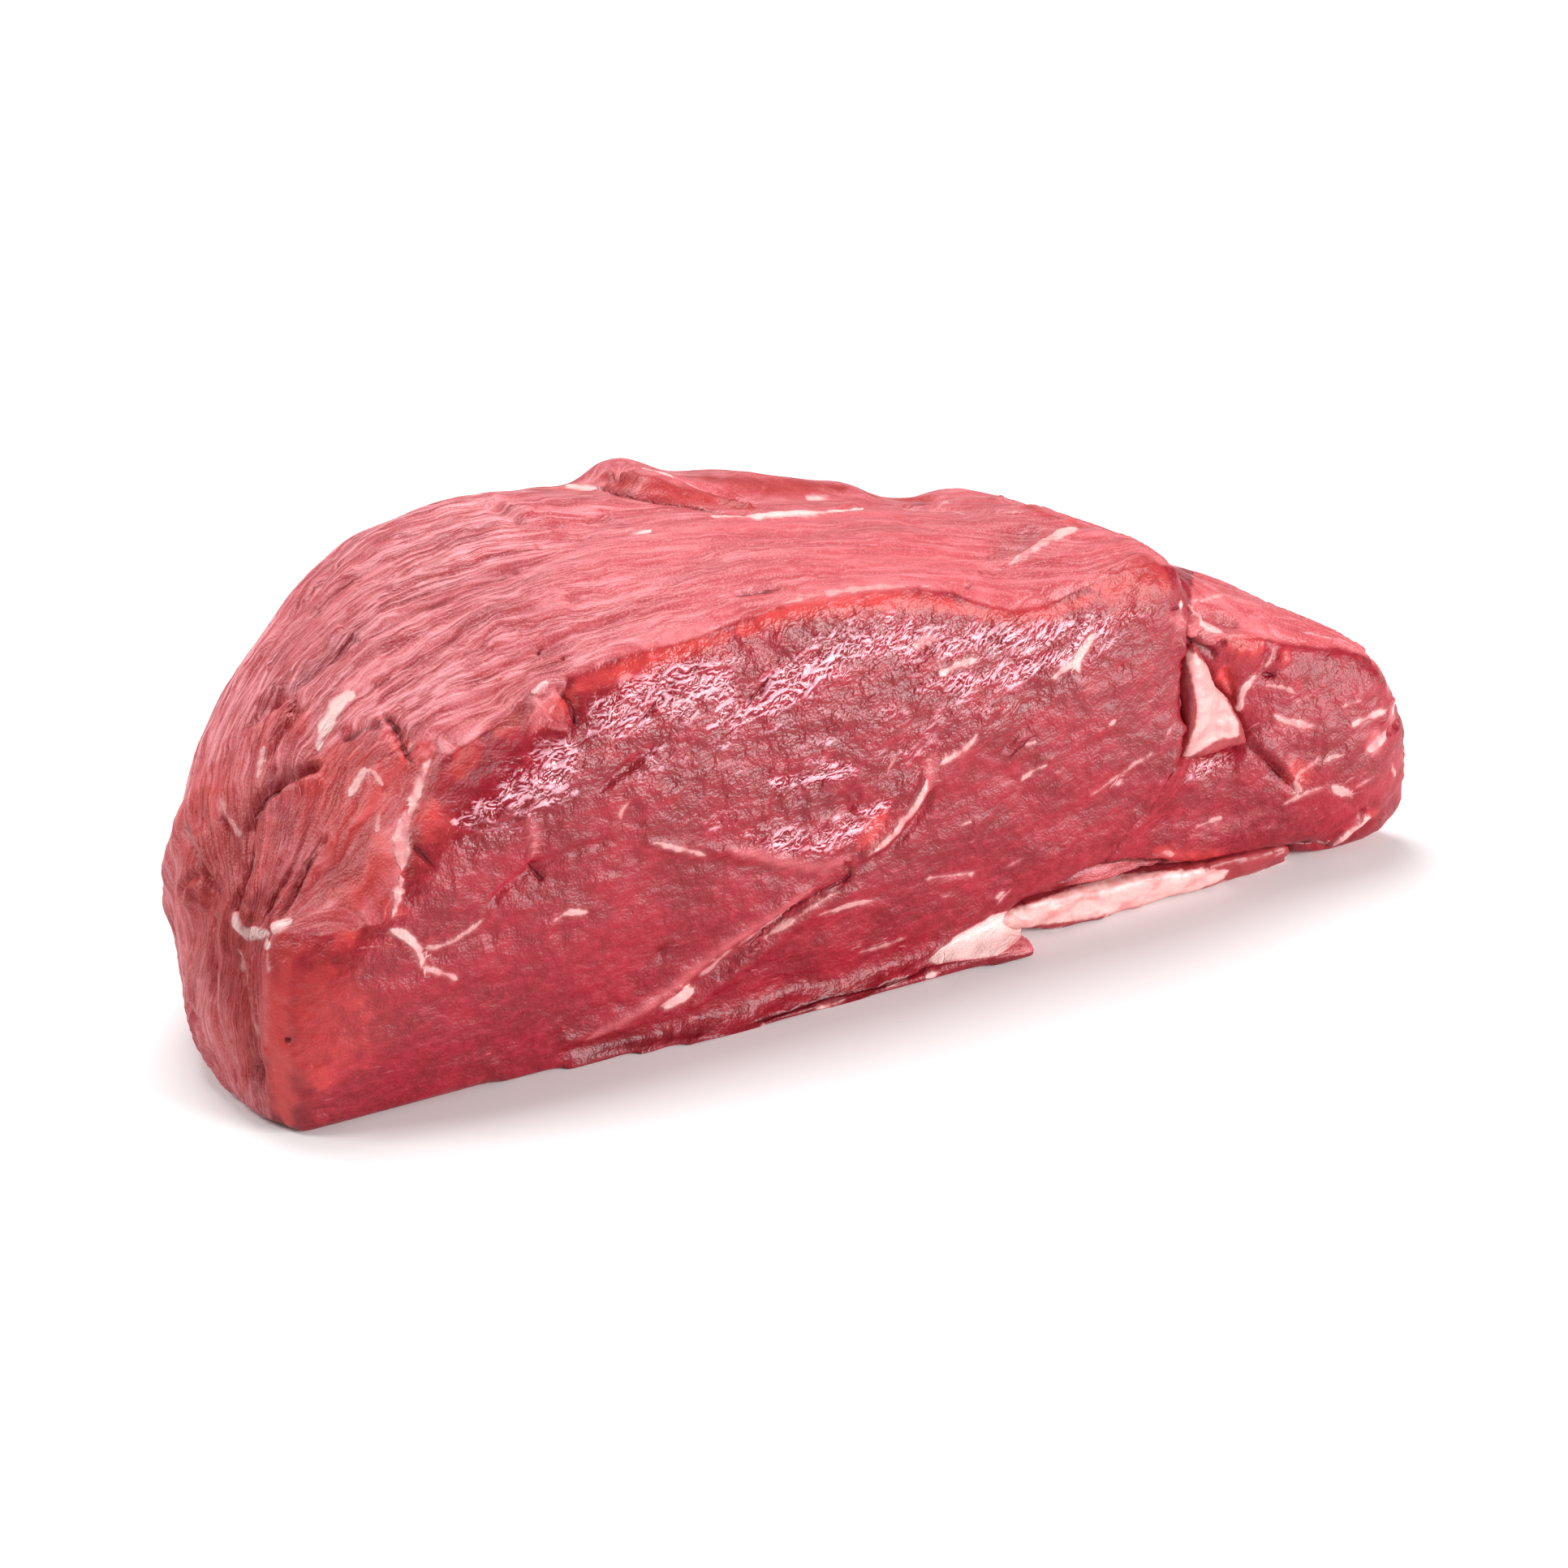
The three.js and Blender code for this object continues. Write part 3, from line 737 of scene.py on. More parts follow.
# %% Veins and cracks
VEINS = {
    # half width in mm, whiteness, line
    "left streak": (1.15, 1.0, (
        (534, 924), (516, 962), (503, 1008), (494, 1042), (495, 1080), (487, 1118), (478, 1140))),
    "left streak swelling": (1.8, 0.95, ((500, 1000), (494, 1045), (494, 1075))),
    "vein under the streak": (0.85, 0.9, ((476, 1143), (502, 1154), (516, 1168), (521, 1184), (518, 1197))),
    "vein to the right": (0.42, 0.47, ((516, 1170), (547, 1168), (580, 1147), (602, 1130))),
    "vein low": (0.59, 0.59, ((518, 1192), (543, 1197), (566, 1208))),
    "vein in the middle": (0.51, 0.64, ((795, 1034), (822, 1042), (852, 1049), (876, 1056))),
    "vein up": (0.42, 0.47, ((766, 1012), (763, 1000), (775, 988))),
    "short vein": (0.47, 0.68, ((680, 1136), (698, 1122), (726, 1124))),
    "oval arc": (0.95, 0.8, ((1141, 954), (1134, 979), (1118, 1005), (1096, 1031), (1062, 1058))),
    "upper right vein": (0.8, 0.75, ((1206, 902), (1180, 929), (1162, 938), (1150, 950))),
    "arc above": (0.42, 0.38, ((1114, 922), (1100, 938), (1092, 960))),
    "seam edge": (0.47, 0.59, ((1038, 1096), (1012, 1106), (975, 1134), (935, 1160))),
    "seam edge low": (0.42, 0.42, ((985, 1110), (930, 1150), (880, 1192), (852, 1214))),
    "seam end": (1.5, 1.0, ((810, 1242), (834, 1233), (856, 1218))),
    "dash one": (0.38, 0.51, ((1000, 1127), (1040, 1116), (1082, 1107))),
    "dash two": (0.42, 0.59, ((1135, 1083), (1170, 1080), (1206, 1076))),
    "dash three": (0.47, 0.59, ((1246, 1096), (1236, 1106), (1229, 1116))),
    "dash four": (0.34, 0.42, ((1052, 1175), (1085, 1168), (1119, 1154))),
    "dash five": (0.42, 0.64, ((1258, 966), (1272, 950), (1292, 942))),
    "dash six": (0.51, 0.68, ((1376, 968), (1384, 960))),
    "dash seven": (0.38, 0.51, ((1434, 910), (1444, 896), (1450, 884))),
    "dash eight": (0.42, 0.51, ((1180, 1018), (1196, 1012))),
    "dash nine": (0.51, 0.64, ((1264, 918), (1276, 914))),
    "dash ten": (0.51, 0.59, ((1366, 892), (1374, 888))),
    "dash eleven": (0.38, 0.42, ((1340, 985), (1360, 970), (1400, 940), (1430, 922))),
    "dash twelve": (0.34, 0.38, ((1240, 1070), (1262, 1056))),
    "branched fat": (1.0, 0.95, ((1351, 777), (1337, 796), (1324, 815), (1331, 834))),
    "branched fat low": (0.8, 0.9, ((1326, 815), (1310, 826), (1294, 837))),
    "white dash": (0.9, 0.9, ((1154, 832), (1172, 822), (1207, 811))),
    "white cluster": (1.3, 0.85, ((1124, 796), (1140, 791), (1156, 786))),
    "lip fleck one": (0.59, 0.77, ((985, 1254), (1012, 1241), (1044, 1230))),
    "lip fleck two": (0.9, 0.9, ((1140, 1204), (1158, 1198))),
    "lip fleck three": (0.42, 0.59, ((930, 1268), (942, 1262))),
    "lip fleck four": (0.42, 0.68, ((1090, 1216), (1120, 1202))),
    "low fleck": (0.51, 0.59, ((1226, 1108), (1238, 1100))),
    "left fat one": (1.1, 1.0, ((452, 946), (444, 962), (430, 984))),
    "left fat two": (0.59, 0.68, ((452, 948), (464, 958), (472, 970))),
    "left fat strand": (0.51, 0.51, ((469, 1000), (466, 1014), (464, 1028))),
    "pale strand": (0.8, 0.75, ((326, 918), (321, 940), (318, 962))),
    "pale strand low": (0.59, 0.51, ((270, 974), (275, 1002), (300, 1034))),
    "slit rim": (0.47, 0.51, ((517, 911), (508, 918), (501, 927))),
    "knot tail": (0.59, 0.68, ((296, 1168), (297, 1182), (296, 1198))),
    "knot tail two": (0.42, 0.42, ((330, 1172), (328, 1186), (330, 1200))),
    "fold line one": (0.3, 0.42, ((381, 1074), (368, 1104), (350, 1130))),
    "fold line two": (0.3, 0.38, ((312, 1016), (316, 1056), (304, 1096), (296, 1124))),
    "fold line three": (0.26, 0.34, ((222, 1000), (232, 1040), (246, 1070))),
    "low line one": (0.26, 0.34, ((300, 1180), (303, 1230), (318, 1290))),
    "low line two": (0.26, 0.3, ((268, 1190), (268, 1240), (282, 1310))),
    "rim line": (0.51, 0.51, ((946, 749), (982, 738), (1033, 728), (1100, 721), (1160, 722))),
    "fringe": (0.59, 0.51, ((1106, 625), (1130, 627), (1172, 628), (1190, 634))),
    "fringe right": (0.42, 0.42, ((1196, 630), (1254, 630), (1270, 631))),
    "white streak": (1.5, 1.0, ((1330, 652), (1310, 660), (1288, 670), (1262, 686), (1240, 697))),
    "white streak tail": (0.51, 0.51, ((1245, 694), (1225, 699), (1204, 697))),
    "rim strand": (0.9, 0.6, ((1154, 626), (1168, 617), (1184, 611))),
    "corner hairline": (0.3, 0.42, ((1367, 679), (1400, 682), (1428, 688))),
    "end line one": (0.47, 0.64, ((1573, 796), (1565, 814), (1560, 826))),
    "end line two": (0.9, 0.85, ((1552, 830), (1538, 842), (1530, 862), (1523, 880))),
    "end ledge": (1.2, 0.8, ((1463, 752), (1482, 768), (1503, 780))),
    "end top line": (0.34, 0.47, ((1599, 776), (1638, 788), (1662, 796))),
    "end top line two": (0.34, 0.51, ((1464, 742), (1486, 734), (1530, 736))),
    "marbling one": (1.0, 0.9, ((1566, 880), (1578, 885), (1596, 893), (1624, 894))),
    "marbling two": (0.42, 0.47, ((1592, 870), (1606, 862), (1618, 855))),
    "marbling three": (0.8, 0.8, ((1662, 895), (1685, 885), (1712, 872))),
    "marbling four": (1.5, 0.75, ((1713, 900), (1698, 916), (1682, 927))),
    "marbling five": (0.51, 0.51, ((1578, 992), (1602, 977), (1632, 968))),
    "marbling six": (0.9, 0.65, ((1636, 966), (1656, 977), (1668, 984))),
    "marbling seven": (0.51, 0.51, ((1666, 972), (1680, 962), (1694, 955))),
    "marbling eight": (0.51, 0.51, ((1629, 938), (1642, 932), (1656, 930))),
    "marbling nine": (0.51, 0.51, ((1588, 960), (1612, 946), (1630, 926))),
    "marbling ten": (0.59, 0.51, ((1592, 960), (1598, 968), (1603, 976))),
    "marbling eleven": (0.38, 0.42, ((1717, 936), (1718, 945), (1722, 958))),
    "marbling twelve": (0.34, 0.42, ((1642, 876), (1660, 868), (1680, 862))),
    "marbling thirteen": (0.34, 0.42, ((1555, 845), (1580, 846), (1602, 858))),
    "low fat rim": (1.0, 0.9, ((1690, 1003), (1675, 1015), (1659, 1027), (1638, 1042))),
    "low fat rim left": (0.42, 0.59, ((1615, 1036), (1630, 1042), (1640, 1044))),
    "low pale line": (0.59, 0.59, ((1532, 1068), (1550, 1060), (1570, 1046))),
    "wet edge": (0.42, 0.42, ((1458, 937), (1487, 917), (1509, 908), (1532, 908))),
    "pale dash low": (0.42, 0.51, ((1470, 1022), (1490, 1014), (1510, 1008))),
    "star": (0.59, 0.51, ((1432, 1054), (1440, 1050), (1446, 1056))),
}
# The cracks are painted with shade; the lines under the end and low dark are painted shadow along the
# overhang above the under fat and the underside of the end muscle.
CRACKS = {
    # half width in mm before CRACK_SHARE, line
    "seam": (0.42, (
        (1040, 1060), (1049, 1074), (1045, 1086), (1022, 1094), (992, 1112), (950, 1144), (905, 1176))),
    "left notch": (0.5, ((654, 1066), (662, 1076), (671, 1088))),
    "bump crease": (0.5, ((684, 849), (701, 862), (708, 888), (712, 900))),
    "upper slit": (0.5, ((470, 880), (490, 898), (494, 915), (505, 938))),
    "left flap": (0.45, (
        (388, 948), (345, 966), (322, 990), (308, 1020), (311, 1056), (300, 1092), (290, 1120))),
    "first gather": (0.35, ((390, 1048), (376, 1072), (362, 1105), (345, 1132))),
    "second gather": (0.35, ((356, 1076), (340, 1100), (326, 1132))),
    "left slit": (0.5, ((363, 857), (358, 879))),
    "roll": (0.6, ((738, 600), (785, 612), (835, 621), (896, 631), (928, 629))),
    "rim": (0.8, ((1064, 608), (1088, 616), (1112, 624), (1138, 624))),
    "corner": (0.4, ((1440, 751), (1453, 748))),
    "overlap": (0.45, ((1457, 934), (1443, 954), (1432, 976), (1416, 1002), (1388, 1034), (1368, 1058))),
    "under the end": (0.8, ((1300, 1095), (1348, 1070), (1390, 1064), (1450, 1062))),
    "beside the main muscle": (0.7, ((1466, 762), (1468, 790), (1464, 802))),
    "under the flap": (0.35, ((1556, 934), (1582, 962), (1592, 972))),
    "lip": (0.6, ((912, 1266), (957, 1250), (1010, 1230), (1060, 1222), (1110, 1206), (1140, 1192))),
    "low dark": (1.4, ((1577, 1044), (1600, 1040), (1625, 1041))),
    "clear zone": (0.35, ((508, 1042), (522, 1056), (536, 1070))),
    "top groove": (0.35, ((905, 731), (930, 728), (958, 724))),
    "slanted one": (0.3, ((785, 895), (812, 862), (838, 828))),
    "slanted two": (0.3, ((918, 868), (938, 848), (956, 827))),
    "slanted three": (0.3, ((1282, 905), (1262, 912), (1236, 944))),
    "dark dent": (0.8, ((1558, 832), (1572, 833))),
    "corner nick": (0.6, ((348, 1280), (357, 1286))),
}
CRACK_SHARE = 0.7
LINE_KEPT = 1.3  # mm beyond a line's edge where its width is stored
LINE_REACH = 3.6  # and where its distance is


def line_attribute(lines):
    """For each point the signed distance to its nearest line, that line's half width there, and
    its strength."""
    stored = np.zeros((len(flesh), 3))
    stored[:, 0] = 9.0
    best = np.full(len(flesh), np.inf)
    for half_width, whiteness, pixels in lines:
        line = on_meat(pixels, tree)
        if len(line) < 2:
            continue
        distance, share = distance_to(flesh, line, half_width + LINE_REACH)
        near = np.flatnonzero((distance < half_width + LINE_REACH) & (distance - half_width < best))
        run = np.concatenate(([0], np.cumsum(np.linalg.norm(np.diff(line, axis=0), axis=1))))
        run /= run[-1]

        def place(shares):
            return np.column_stack([np.interp(shares, run, line[:, axis]) for axis in range(3)])

        ahead = place(np.minimum(share[near] + 0.06, 1)) - place(np.maximum(share[near] - 0.06, 0))
        side = (np.cross(ahead, flesh[near] - place(share[near])) * outwards[near]).sum(axis=1)
        stored[near, 0] = np.where(side < 0, -1, 1) * distance[near]
        ends = ramp(share[near], 0, 0.16) * ramp(1 - share[near], 0, 0.16)
        kept = distance[near] < half_width + LINE_KEPT
        stored[near, 1] = np.where(kept, half_width * taper(share[near]) * ends, 0)
        stored[near, 2] = whiteness
        best[near] = distance[near] - half_width
    return stored


veins = line_attribute(VEINS.values())
cracks = line_attribute([(CRACK_SHARE * width, 1.0, line) for width, line in CRACKS.values()])
print("vein vertices", int((veins[:, 1] > 0).sum()), "crack vertices", int((cracks[:, 1] > 0).sum()))

# %% [markdown]
# Broad marks have no clean edge: knots of fat at the left end, lean tinted a warm orange red,
# painted shade in the folds, the hollows and over the left end, and pale patches that are partly the
# milky bloom where the skin dries and partly a painted sheen on the top. Painting them by hand would
# work too; a list of short strokes, each with its half width in mm, can be read and changed later.
# An entry's second number, where it has one, is the strength.

# %% Soft patches of fat, warmth, painted shade, and bloom with painted sheen
FAT_PATCHES = {
    "knot one": (1.5, ((288, 1124), (298, 1150))),
    "knot two": (1.3, ((298, 1150), (318, 1151), (334, 1150))),
    "knot three": (1.6, ((334, 1148), (352, 1138), (362, 1138))),
    "knot four": (1.0, ((332, 1158), (328, 1172))),
    "long fat": (1.9, ((434, 853), (416, 866), (399, 898), (393, 926))),
    "streak blob": (1.8, ((492, 1092), (492, 1104))),
    "bump cream": (1.2, ((678, 841), (655, 858))),
    "rim peach": (2.2, ((650, 600), (690, 596), (734, 602))),
    "roll fat": (1.6, ((796, 580), (812, 584), (834, 591))),
    "roll fat low": (1.2, ((842, 597), (872, 606), (902, 616))),
    "pale band": (2.0, ((874, 636), (940, 634), (1000, 629), (1060, 625))),
    "fat oval": (2.4, 0.55, ((996, 611), (1020, 610))),
    "fat on top": (1.0, ((776, 654), (804, 651))),
    "corner blob": (0.8, 0.5, ((1455, 738), (1453, 750))),
    "tip fat": (1.5, ((1716, 874), (1730, 866))),
    "cell cream": (0.8, ((1072, 1050), (1088, 1040))),
}
WARM_PATCHES = {
    "rim left": (3.0, 0.9, ((612, 905), (640, 890), (690, 872), (705, 852))),
    "rim one": (2.6, 1.0, ((705, 850), (770, 824), (850, 800), (905, 780))),
    "rim two": (2.8, 1.0, ((905, 778), (960, 756), (1030, 742), (1110, 738), (1180, 748))),
    "rim three": (2.2, 0.7, ((1180, 748), (1240, 762), (1300, 756), (1350, 735))),
    "corner block": (6.0, 0.7, ((1350, 722), (1400, 712), (1440, 718))),
    "clear one": (5.0, 1.0, ((560, 930), (585, 945))),
    "clear two": (4.5, 0.9, ((530, 985), (524, 1040))),
    "clear three": (4.0, 1.0, ((480, 1105), (472, 1128))),
    "clear four": (3.6, 0.9, ((410, 1150), (440, 1150))),
    # Here the warm tint also brightens the left corner: partly its orange colour, partly painted light on
    # an edge that the lamps leave dim.
    "left corner": (4.6, 1.2, ((352, 1190), (344, 1230), (336, 1280), (345, 1330), (352, 1385))),
    "left field": (13.0, 0.6, ((380, 1190), (390, 1340))),
    "roll": (4.6, 1.3, ((750, 592), (800, 602), (860, 615), (925, 627))),
    "behind the roll": (4.4, 1.2, ((840, 588), (900, 590), (960, 596), (1040, 603))),
    "roll under": (1.6, 1.0, ((800, 602), (840, 612), (880, 622))),
    "roll tail": (1.3, 1.0, ((900, 624), (925, 625))),
    "back rim one": (2.6, 1.0, ((1060, 602), (1110, 610), (1160, 616), (1210, 614), (1260, 618))),
    "back rim two": (2.0, 0.8, ((1260, 620), (1300, 640), (1330, 650))),
    "rim peach": (2.6, 0.8, ((650, 602), (690, 600), (735, 605))),
    "spot": (1.8, 0.7, ((660, 672), (664, 670))),
    "spot two": (1.6, 0.6, ((582, 628), (560, 645))),
    "left end": (24.0, 0.95, ((250, 960), (270, 1100), (300, 1300))),
    "left middle": (14.0, 1.1, ((400, 930), (440, 1030), (430, 1110))),
    "left low": (12.0, 0.5, ((240, 1200), (270, 1260), (310, 1320))),
    "left shoulder": (7.0, 0.7, ((300, 925), (340, 900), (380, 880))),
    "left shoulder two": (9.0, 0.9, ((440, 930), (480, 950), (520, 930))),
    "top edge": (4.0, 0.4, ((560, 900), (620, 850), (700, 810))),
    "lump": (2.8, 0.9, ((1510, 796), (1535, 793), (1556, 798))),
    "wet hollow": (2.4, 0.9, ((1508, 822), (1514, 846), (1518, 868))),
    "second lump": (1.8, 0.9, ((1576, 804), (1588, 812))),
    "flap": (3.0, 0.6, ((1590, 940), (1598, 958), (1612, 940))),
    "tip strip": (1.2, 1.3, ((1750, 908), (1748, 945), (1740, 966))),
    "oval right": (2.6, 0.8, ((1090, 1000), (1080, 1025), (1056, 1045))),
    "low fat": (1.6, 0.6, ((1680, 1010), (1700, 1000))),
    "under lobe": (2.0, 0.6, ((1420, 1050), (1470, 1056), (1530, 1052))),
}
SHADE_PATCHES = {
    "roll": (4.0, 0.3, ((750, 592), (800, 602), (860, 615), (925, 627))),
    "corner block": (6.0, 0.3, ((1370, 718), (1410, 708), (1445, 715))),
    "behind the roll": (4.0, 0.4, ((840, 588), (900, 590), (960, 596), (1040, 603))),
    "left end": (16.0, 0.3, ((240, 1000), (260, 1100), (300, 1240))),
    "left end two": (10.0, 0.2, ((330, 960), (360, 1040), (420, 1100))),
    "behind the corner": (2.6, 0.5, ((1474, 752), (1500, 762), (1524, 771))),
    "under the ledge": (1.6, 1.0, ((1468, 793), (1484, 801), (1500, 806))),
    "above the under fat": (2.0, 0.55, ((1300, 1090), (1345, 1076), (1390, 1072), (1450, 1068))),
    "low fold": (2.6, 0.5, ((700, 1298), (750, 1288), (810, 1280), (876, 1270))),
    "lip": (1.3, 0.6, ((900, 1272), (957, 1254), (1010, 1234), (1060, 1226), (1110, 1210))),
    "flap": (3.4, 0.35, ((1190, 1192), (1230, 1186), (1270, 1160))),
    "oval": (9.0, 0.3, ((950, 1000), (1030, 985))),
    "low dark": (2.4, 0.9, ((1580, 1046), (1640, 1050), (1700, 1040))),
    "left flap": (2.6, 0.5, ((385, 940), (340, 955), (312, 985), (298, 1020), (300, 1060))),
    "left hollow": (3.0, 0.35, ((240, 1020), (262, 1060), (276, 1100))),
    "left corner": (2.6, 0.4, ((300, 1200), (306, 1280), (318, 1350))),
    "left trough": (2.4, 0.3, ((437, 784), (397, 817), (358, 850))),
    "under the roll": (1.6, 0.6, ((740, 600), (790, 612), (840, 622), (900, 632))),
    "rim": (1.6, 0.8, ((1064, 608), (1110, 620), (1136, 622))),
    "brown lump": (2.2, 0.5, ((1474, 786), (1494, 788))),
    "pit": (1.0, 1.0, ((1436, 1012), (1438, 1014))),
    "right hollow": (5.0, 0.25, ((1222, 684), (1250, 670), (1270, 658))),
    "clear zone": (3.0, 0.4, ((512, 1030), (528, 1060))),
    "left middle": (6.0, 0.25, ((400, 1040), (440, 1080))),
}
# Pale patches: the dry bloom of the silver skin and its pale strands, and a painted sheen on the top bands
# and the left shoulder, where light from above makes the skin milky.
BLOOM_AND_SHEEN_PATCHES = {
    "pink bump": (5.0, 0.7, ((660, 872), (676, 880))),
    "seam bank": (1.8, 0.55, ((1000, 1092), (930, 1140), (870, 1184), (800, 1240), (720, 1280))),
    "oval low": (1.6, 0.6, ((900, 1044), (962, 1060), (1012, 1068), (1048, 1056))),
    "oval right": (1.6, 0.5, ((1150, 930), (1144, 960), (1120, 1010))),
    "corner edge": (1.8, 0.5, ((1440, 760), (1462, 770), (1464, 796))),
    "tip corner": (3.2, 0.8, ((1712, 880), (1726, 868), (1736, 876))),
    "tip marbling": (3.4, 0.5, ((1700, 905), (1685, 925))),
    "end front": (1.4, 0.2, ((1470, 1030), (1500, 1020), (1560, 1000))),
    "above the rim": (2.4, 0.6, ((946, 745), (1000, 730), (1080, 718), (1160, 716))),
    "top band one": (6.0, 0.4, ((520, 770), (640, 700), (760, 665), (880, 650))),
    "top band two": (4.0, 0.5, ((860, 648), (960, 640), (1060, 634), (1120, 632))),
    "top band three": (5.0, 0.3, ((1000, 690), (1100, 692), (1200, 700))),
    "left shoulder": (6.0, 0.4, ((330, 800), (400, 740), (500, 690))),
    "lip edge": (1.4, 0.5, ((960, 1262), (1040, 1240), (1120, 1216))),
    "left knot": (2.6, 0.4, ((300, 1150), (340, 1155))),
    "cell": (1.4, 0.4, ((656, 1056), (660, 1028), (648, 1005))),
    "left edge": (1.4, 0.4, ((326, 1180), (322, 1230), (326, 1290))),
}


def patches(places):
    """Each vertex's strongest stroke among the entries of a table."""
    total = np.zeros(len(flesh))
    for entry in places.values():
        amount = entry[1] if len(entry) == 3 else 1.0
        total = np.maximum(total, amount * along(entry[-1], entry[0]))
    return np.minimum(total, 1)


UNDER_FAT_SHOWS = [  # its outline on the photograph
    (1142, 1183), (1181, 1152), (1223, 1129), (1273, 1115), (1319, 1097), (1379, 1080), (1457, 1074),
    (1512, 1074), (1503, 1083), (1457, 1101), (1388, 1120), (1324, 1133), (1273, 1138), (1250, 1161),
    (1227, 1177), (1154, 1186),
]
fat = patches(FAT_PATCHES)
fat = np.maximum(fat, ramp(inside_by(pixels, UNDER_FAT_SHOWS), -0.8, 0.8) * front)
warm = patches(WARM_PATCHES)
shade = patches(SHADE_PATCHES)
milk = patches(BLOOM_AND_SHEEN_PATCHES)


# The fibres are drawn up into crisp wrinkles over the left shoulder and lie smoother elsewhere.
WRINKLED_FROM, WRINKLED_TO = 900, 520  # pixels across the photograph
SMOOTH_BELOW = 1000  # pixels down it
wrinkled = ramp(WRINKLED_FROM - pixels[:, 0] + 90 * noise_on(scaled(flesh, (20, 20, 14)), 15, 2), 0,
                WRINKLED_FROM - WRINKLED_TO)
wrinkled *= 0.3 + 0.7 * front
wrinkled *= 0.3 + 0.7 * ramp(SMOOTH_BELOW - pixels[:, 1], 0, 160)

# Behind, where the photograph shows nothing: silverskin in broad pale sheets and thin lines of fat.
behind = (1 - front) * ramp(flesh[:, 2], 1.0, 8.0)
sheets = noise_on(scaled(grain_skin, (70, 18, 1)), 21, 2)
threads = ridges_on(scaled(grain_skin, (90, 24, 1)), 22)
milk = np.maximum(milk, 0.55 * behind * ramp(sheets, 0.0, 0.5))
fat = np.maximum(fat, 0.8 * behind * ramp(threads, 0.9, 0.99) * ramp(sheets, -0.3, 0.2))


def store(obj, name, values):
    """Keeps a number, or three, for each vertex of the piece."""
    kind = "FLOAT" if values.ndim == 1 else "FLOAT_VECTOR"
    attribute = obj.data.attributes.new(name, kind, "POINT")
    flat = values.astype(np.float32).ravel()
    attribute.data.foreach_set("value" if values.ndim == 1 else "vector", flat)


for name, values in {
    "skin": skin, "wet": wet, "fat": fat, "warm": warm, "shade": shade, "milk": milk,
    "wrinkled": wrinkled, "vein": veins, "crack": cracks,
    "grain_cut": grain_cut, "grain_skin": grain_skin,
}.items():
    store(clod, name, values)
print("attributes", [a.name for a in clod.data.attributes])

# %% [markdown]
# ## Materials
# A shader is a small program of nodes. These helpers each add one node and give back the socket
# that leaves it, so that a pattern reads like a sum. They find the node tree through the sockets.

# %% Node helpers
def colour(red, green, blue):
    """A screen colour, 0 to 255, as the linear colour a shader wants."""
    linear = [c / 12.92 if c <= 0.04045 else ((c + 0.055) / 1.055) ** 2.4
              for c in (red / 255, green / 255, blue / 255)]
    return (*linear, 1.0)


def add(tree, kind, inputs=None, **settings):
    """A new node; each input takes a constant or the socket that feeds it."""
    made = tree.nodes.new(kind)
    for key, value in settings.items():
        setattr(made, key, value)
    for key, value in (inputs or {}).items():
        if isinstance(value, bpy.types.NodeSocket):
            tree.links.new(value, made.inputs[key])
        else:
            made.inputs[key].default_value = value
    return made


def tree_of(*values):
    return next(v.id_data for v in values if isinstance(v, bpy.types.NodeSocket))


def math_node(operation, a, b=0.0):
    return add(tree_of(a, b), "ShaderNodeMath", {0: a, 1: b}, operation=operation).outputs[0]


def plus(a, b):
    return math_node("ADD", a, b)


def minus(a, b):
    return math_node("SUBTRACT", a, b)


def times(a, b):
    return math_node("MULTIPLY", a, b)


def larger(a, b):
    return math_node("MAXIMUM", a, b)


def off_middle(value):
    """How far a noise is from its middle, which draws a line where it crosses it."""
    return math_node("ABSOLUTE", minus(value, 0.5))


def vector_math(operation, a, b):
    slot = 3 if operation == "SCALE" else 1
    return add(tree_of(a, b), "ShaderNodeVectorMath", {0: a, slot: b}, operation=operation).outputs[0]


def stretched(vector, *lengths):
    """The vector divided by a length in each direction, so that a pattern has that size."""
    if len(lengths) == 1:
        lengths *= 3
    return vector_math("MULTIPLY", vector, tuple(1 / v for v in lengths))


def noise_value(vector, detail, roughness=0.55, distortion=0.0):
    return add(tree_of(vector), "ShaderNodeTexNoise", {
        "Vector": vector, "Scale": 1.0, "Detail": detail, "Roughness": roughness,
        "Distortion": distortion}).outputs["Fac"]


def soft_step(value, low, high):
    return add(tree_of(value), "ShaderNodeMapRange", {0: value, 1: low, 2: high},
               interpolation_type="SMOOTHSTEP").outputs[0]


def between(share, a, b):
    """The number that lies this share of the way from a to b."""
    return add(tree_of(share), "ShaderNodeMix", {0: share, 2: a, 3: b}, data_type="FLOAT").outputs[0]


def blend(mask, a, b, blend_type="MIX"):
    return add(tree_of(mask), "ShaderNodeMix", {0: mask, 6: a, 7: b}, data_type="RGBA",
               blend_type=blend_type).outputs[2]


def layered(base, *layers):
    """Colours laid over a base one after the other, each through its own mask."""
    for mask, tone in layers:
        base = blend(mask, base, tone)
    return base


def attribute(tree, name, output="Fac"):
    return add(tree, "ShaderNodeAttribute", attribute_name=name).outputs[output]


def new_group(name, vectors, values, outs):
    """An empty group with vector and value inputs and value outputs."""
    group = bpy.data.node_groups.new(name, "ShaderNodeTree")
    for labels, kind in ((vectors, "NodeSocketVector"), (values, "NodeSocketFloat")):
        for label in labels:
            group.interface.new_socket(label, in_out="INPUT", socket_type=kind)
    for label in outs:
        group.interface.new_socket(label, in_out="OUTPUT", socket_type="NodeSocketFloat")
    return group, group.nodes.new("NodeGroupInput").outputs


def give_out(group, *sockets):
    """Links the group's results to its outputs."""
    out = group.nodes.new("NodeGroupOutput")
    for socket, into in zip(sockets, out.inputs):
        group.links.new(socket, into)
    return group


def use(tree, group, inputs):
    return add(tree, "ShaderNodeGroup", inputs, node_tree=group).outputs


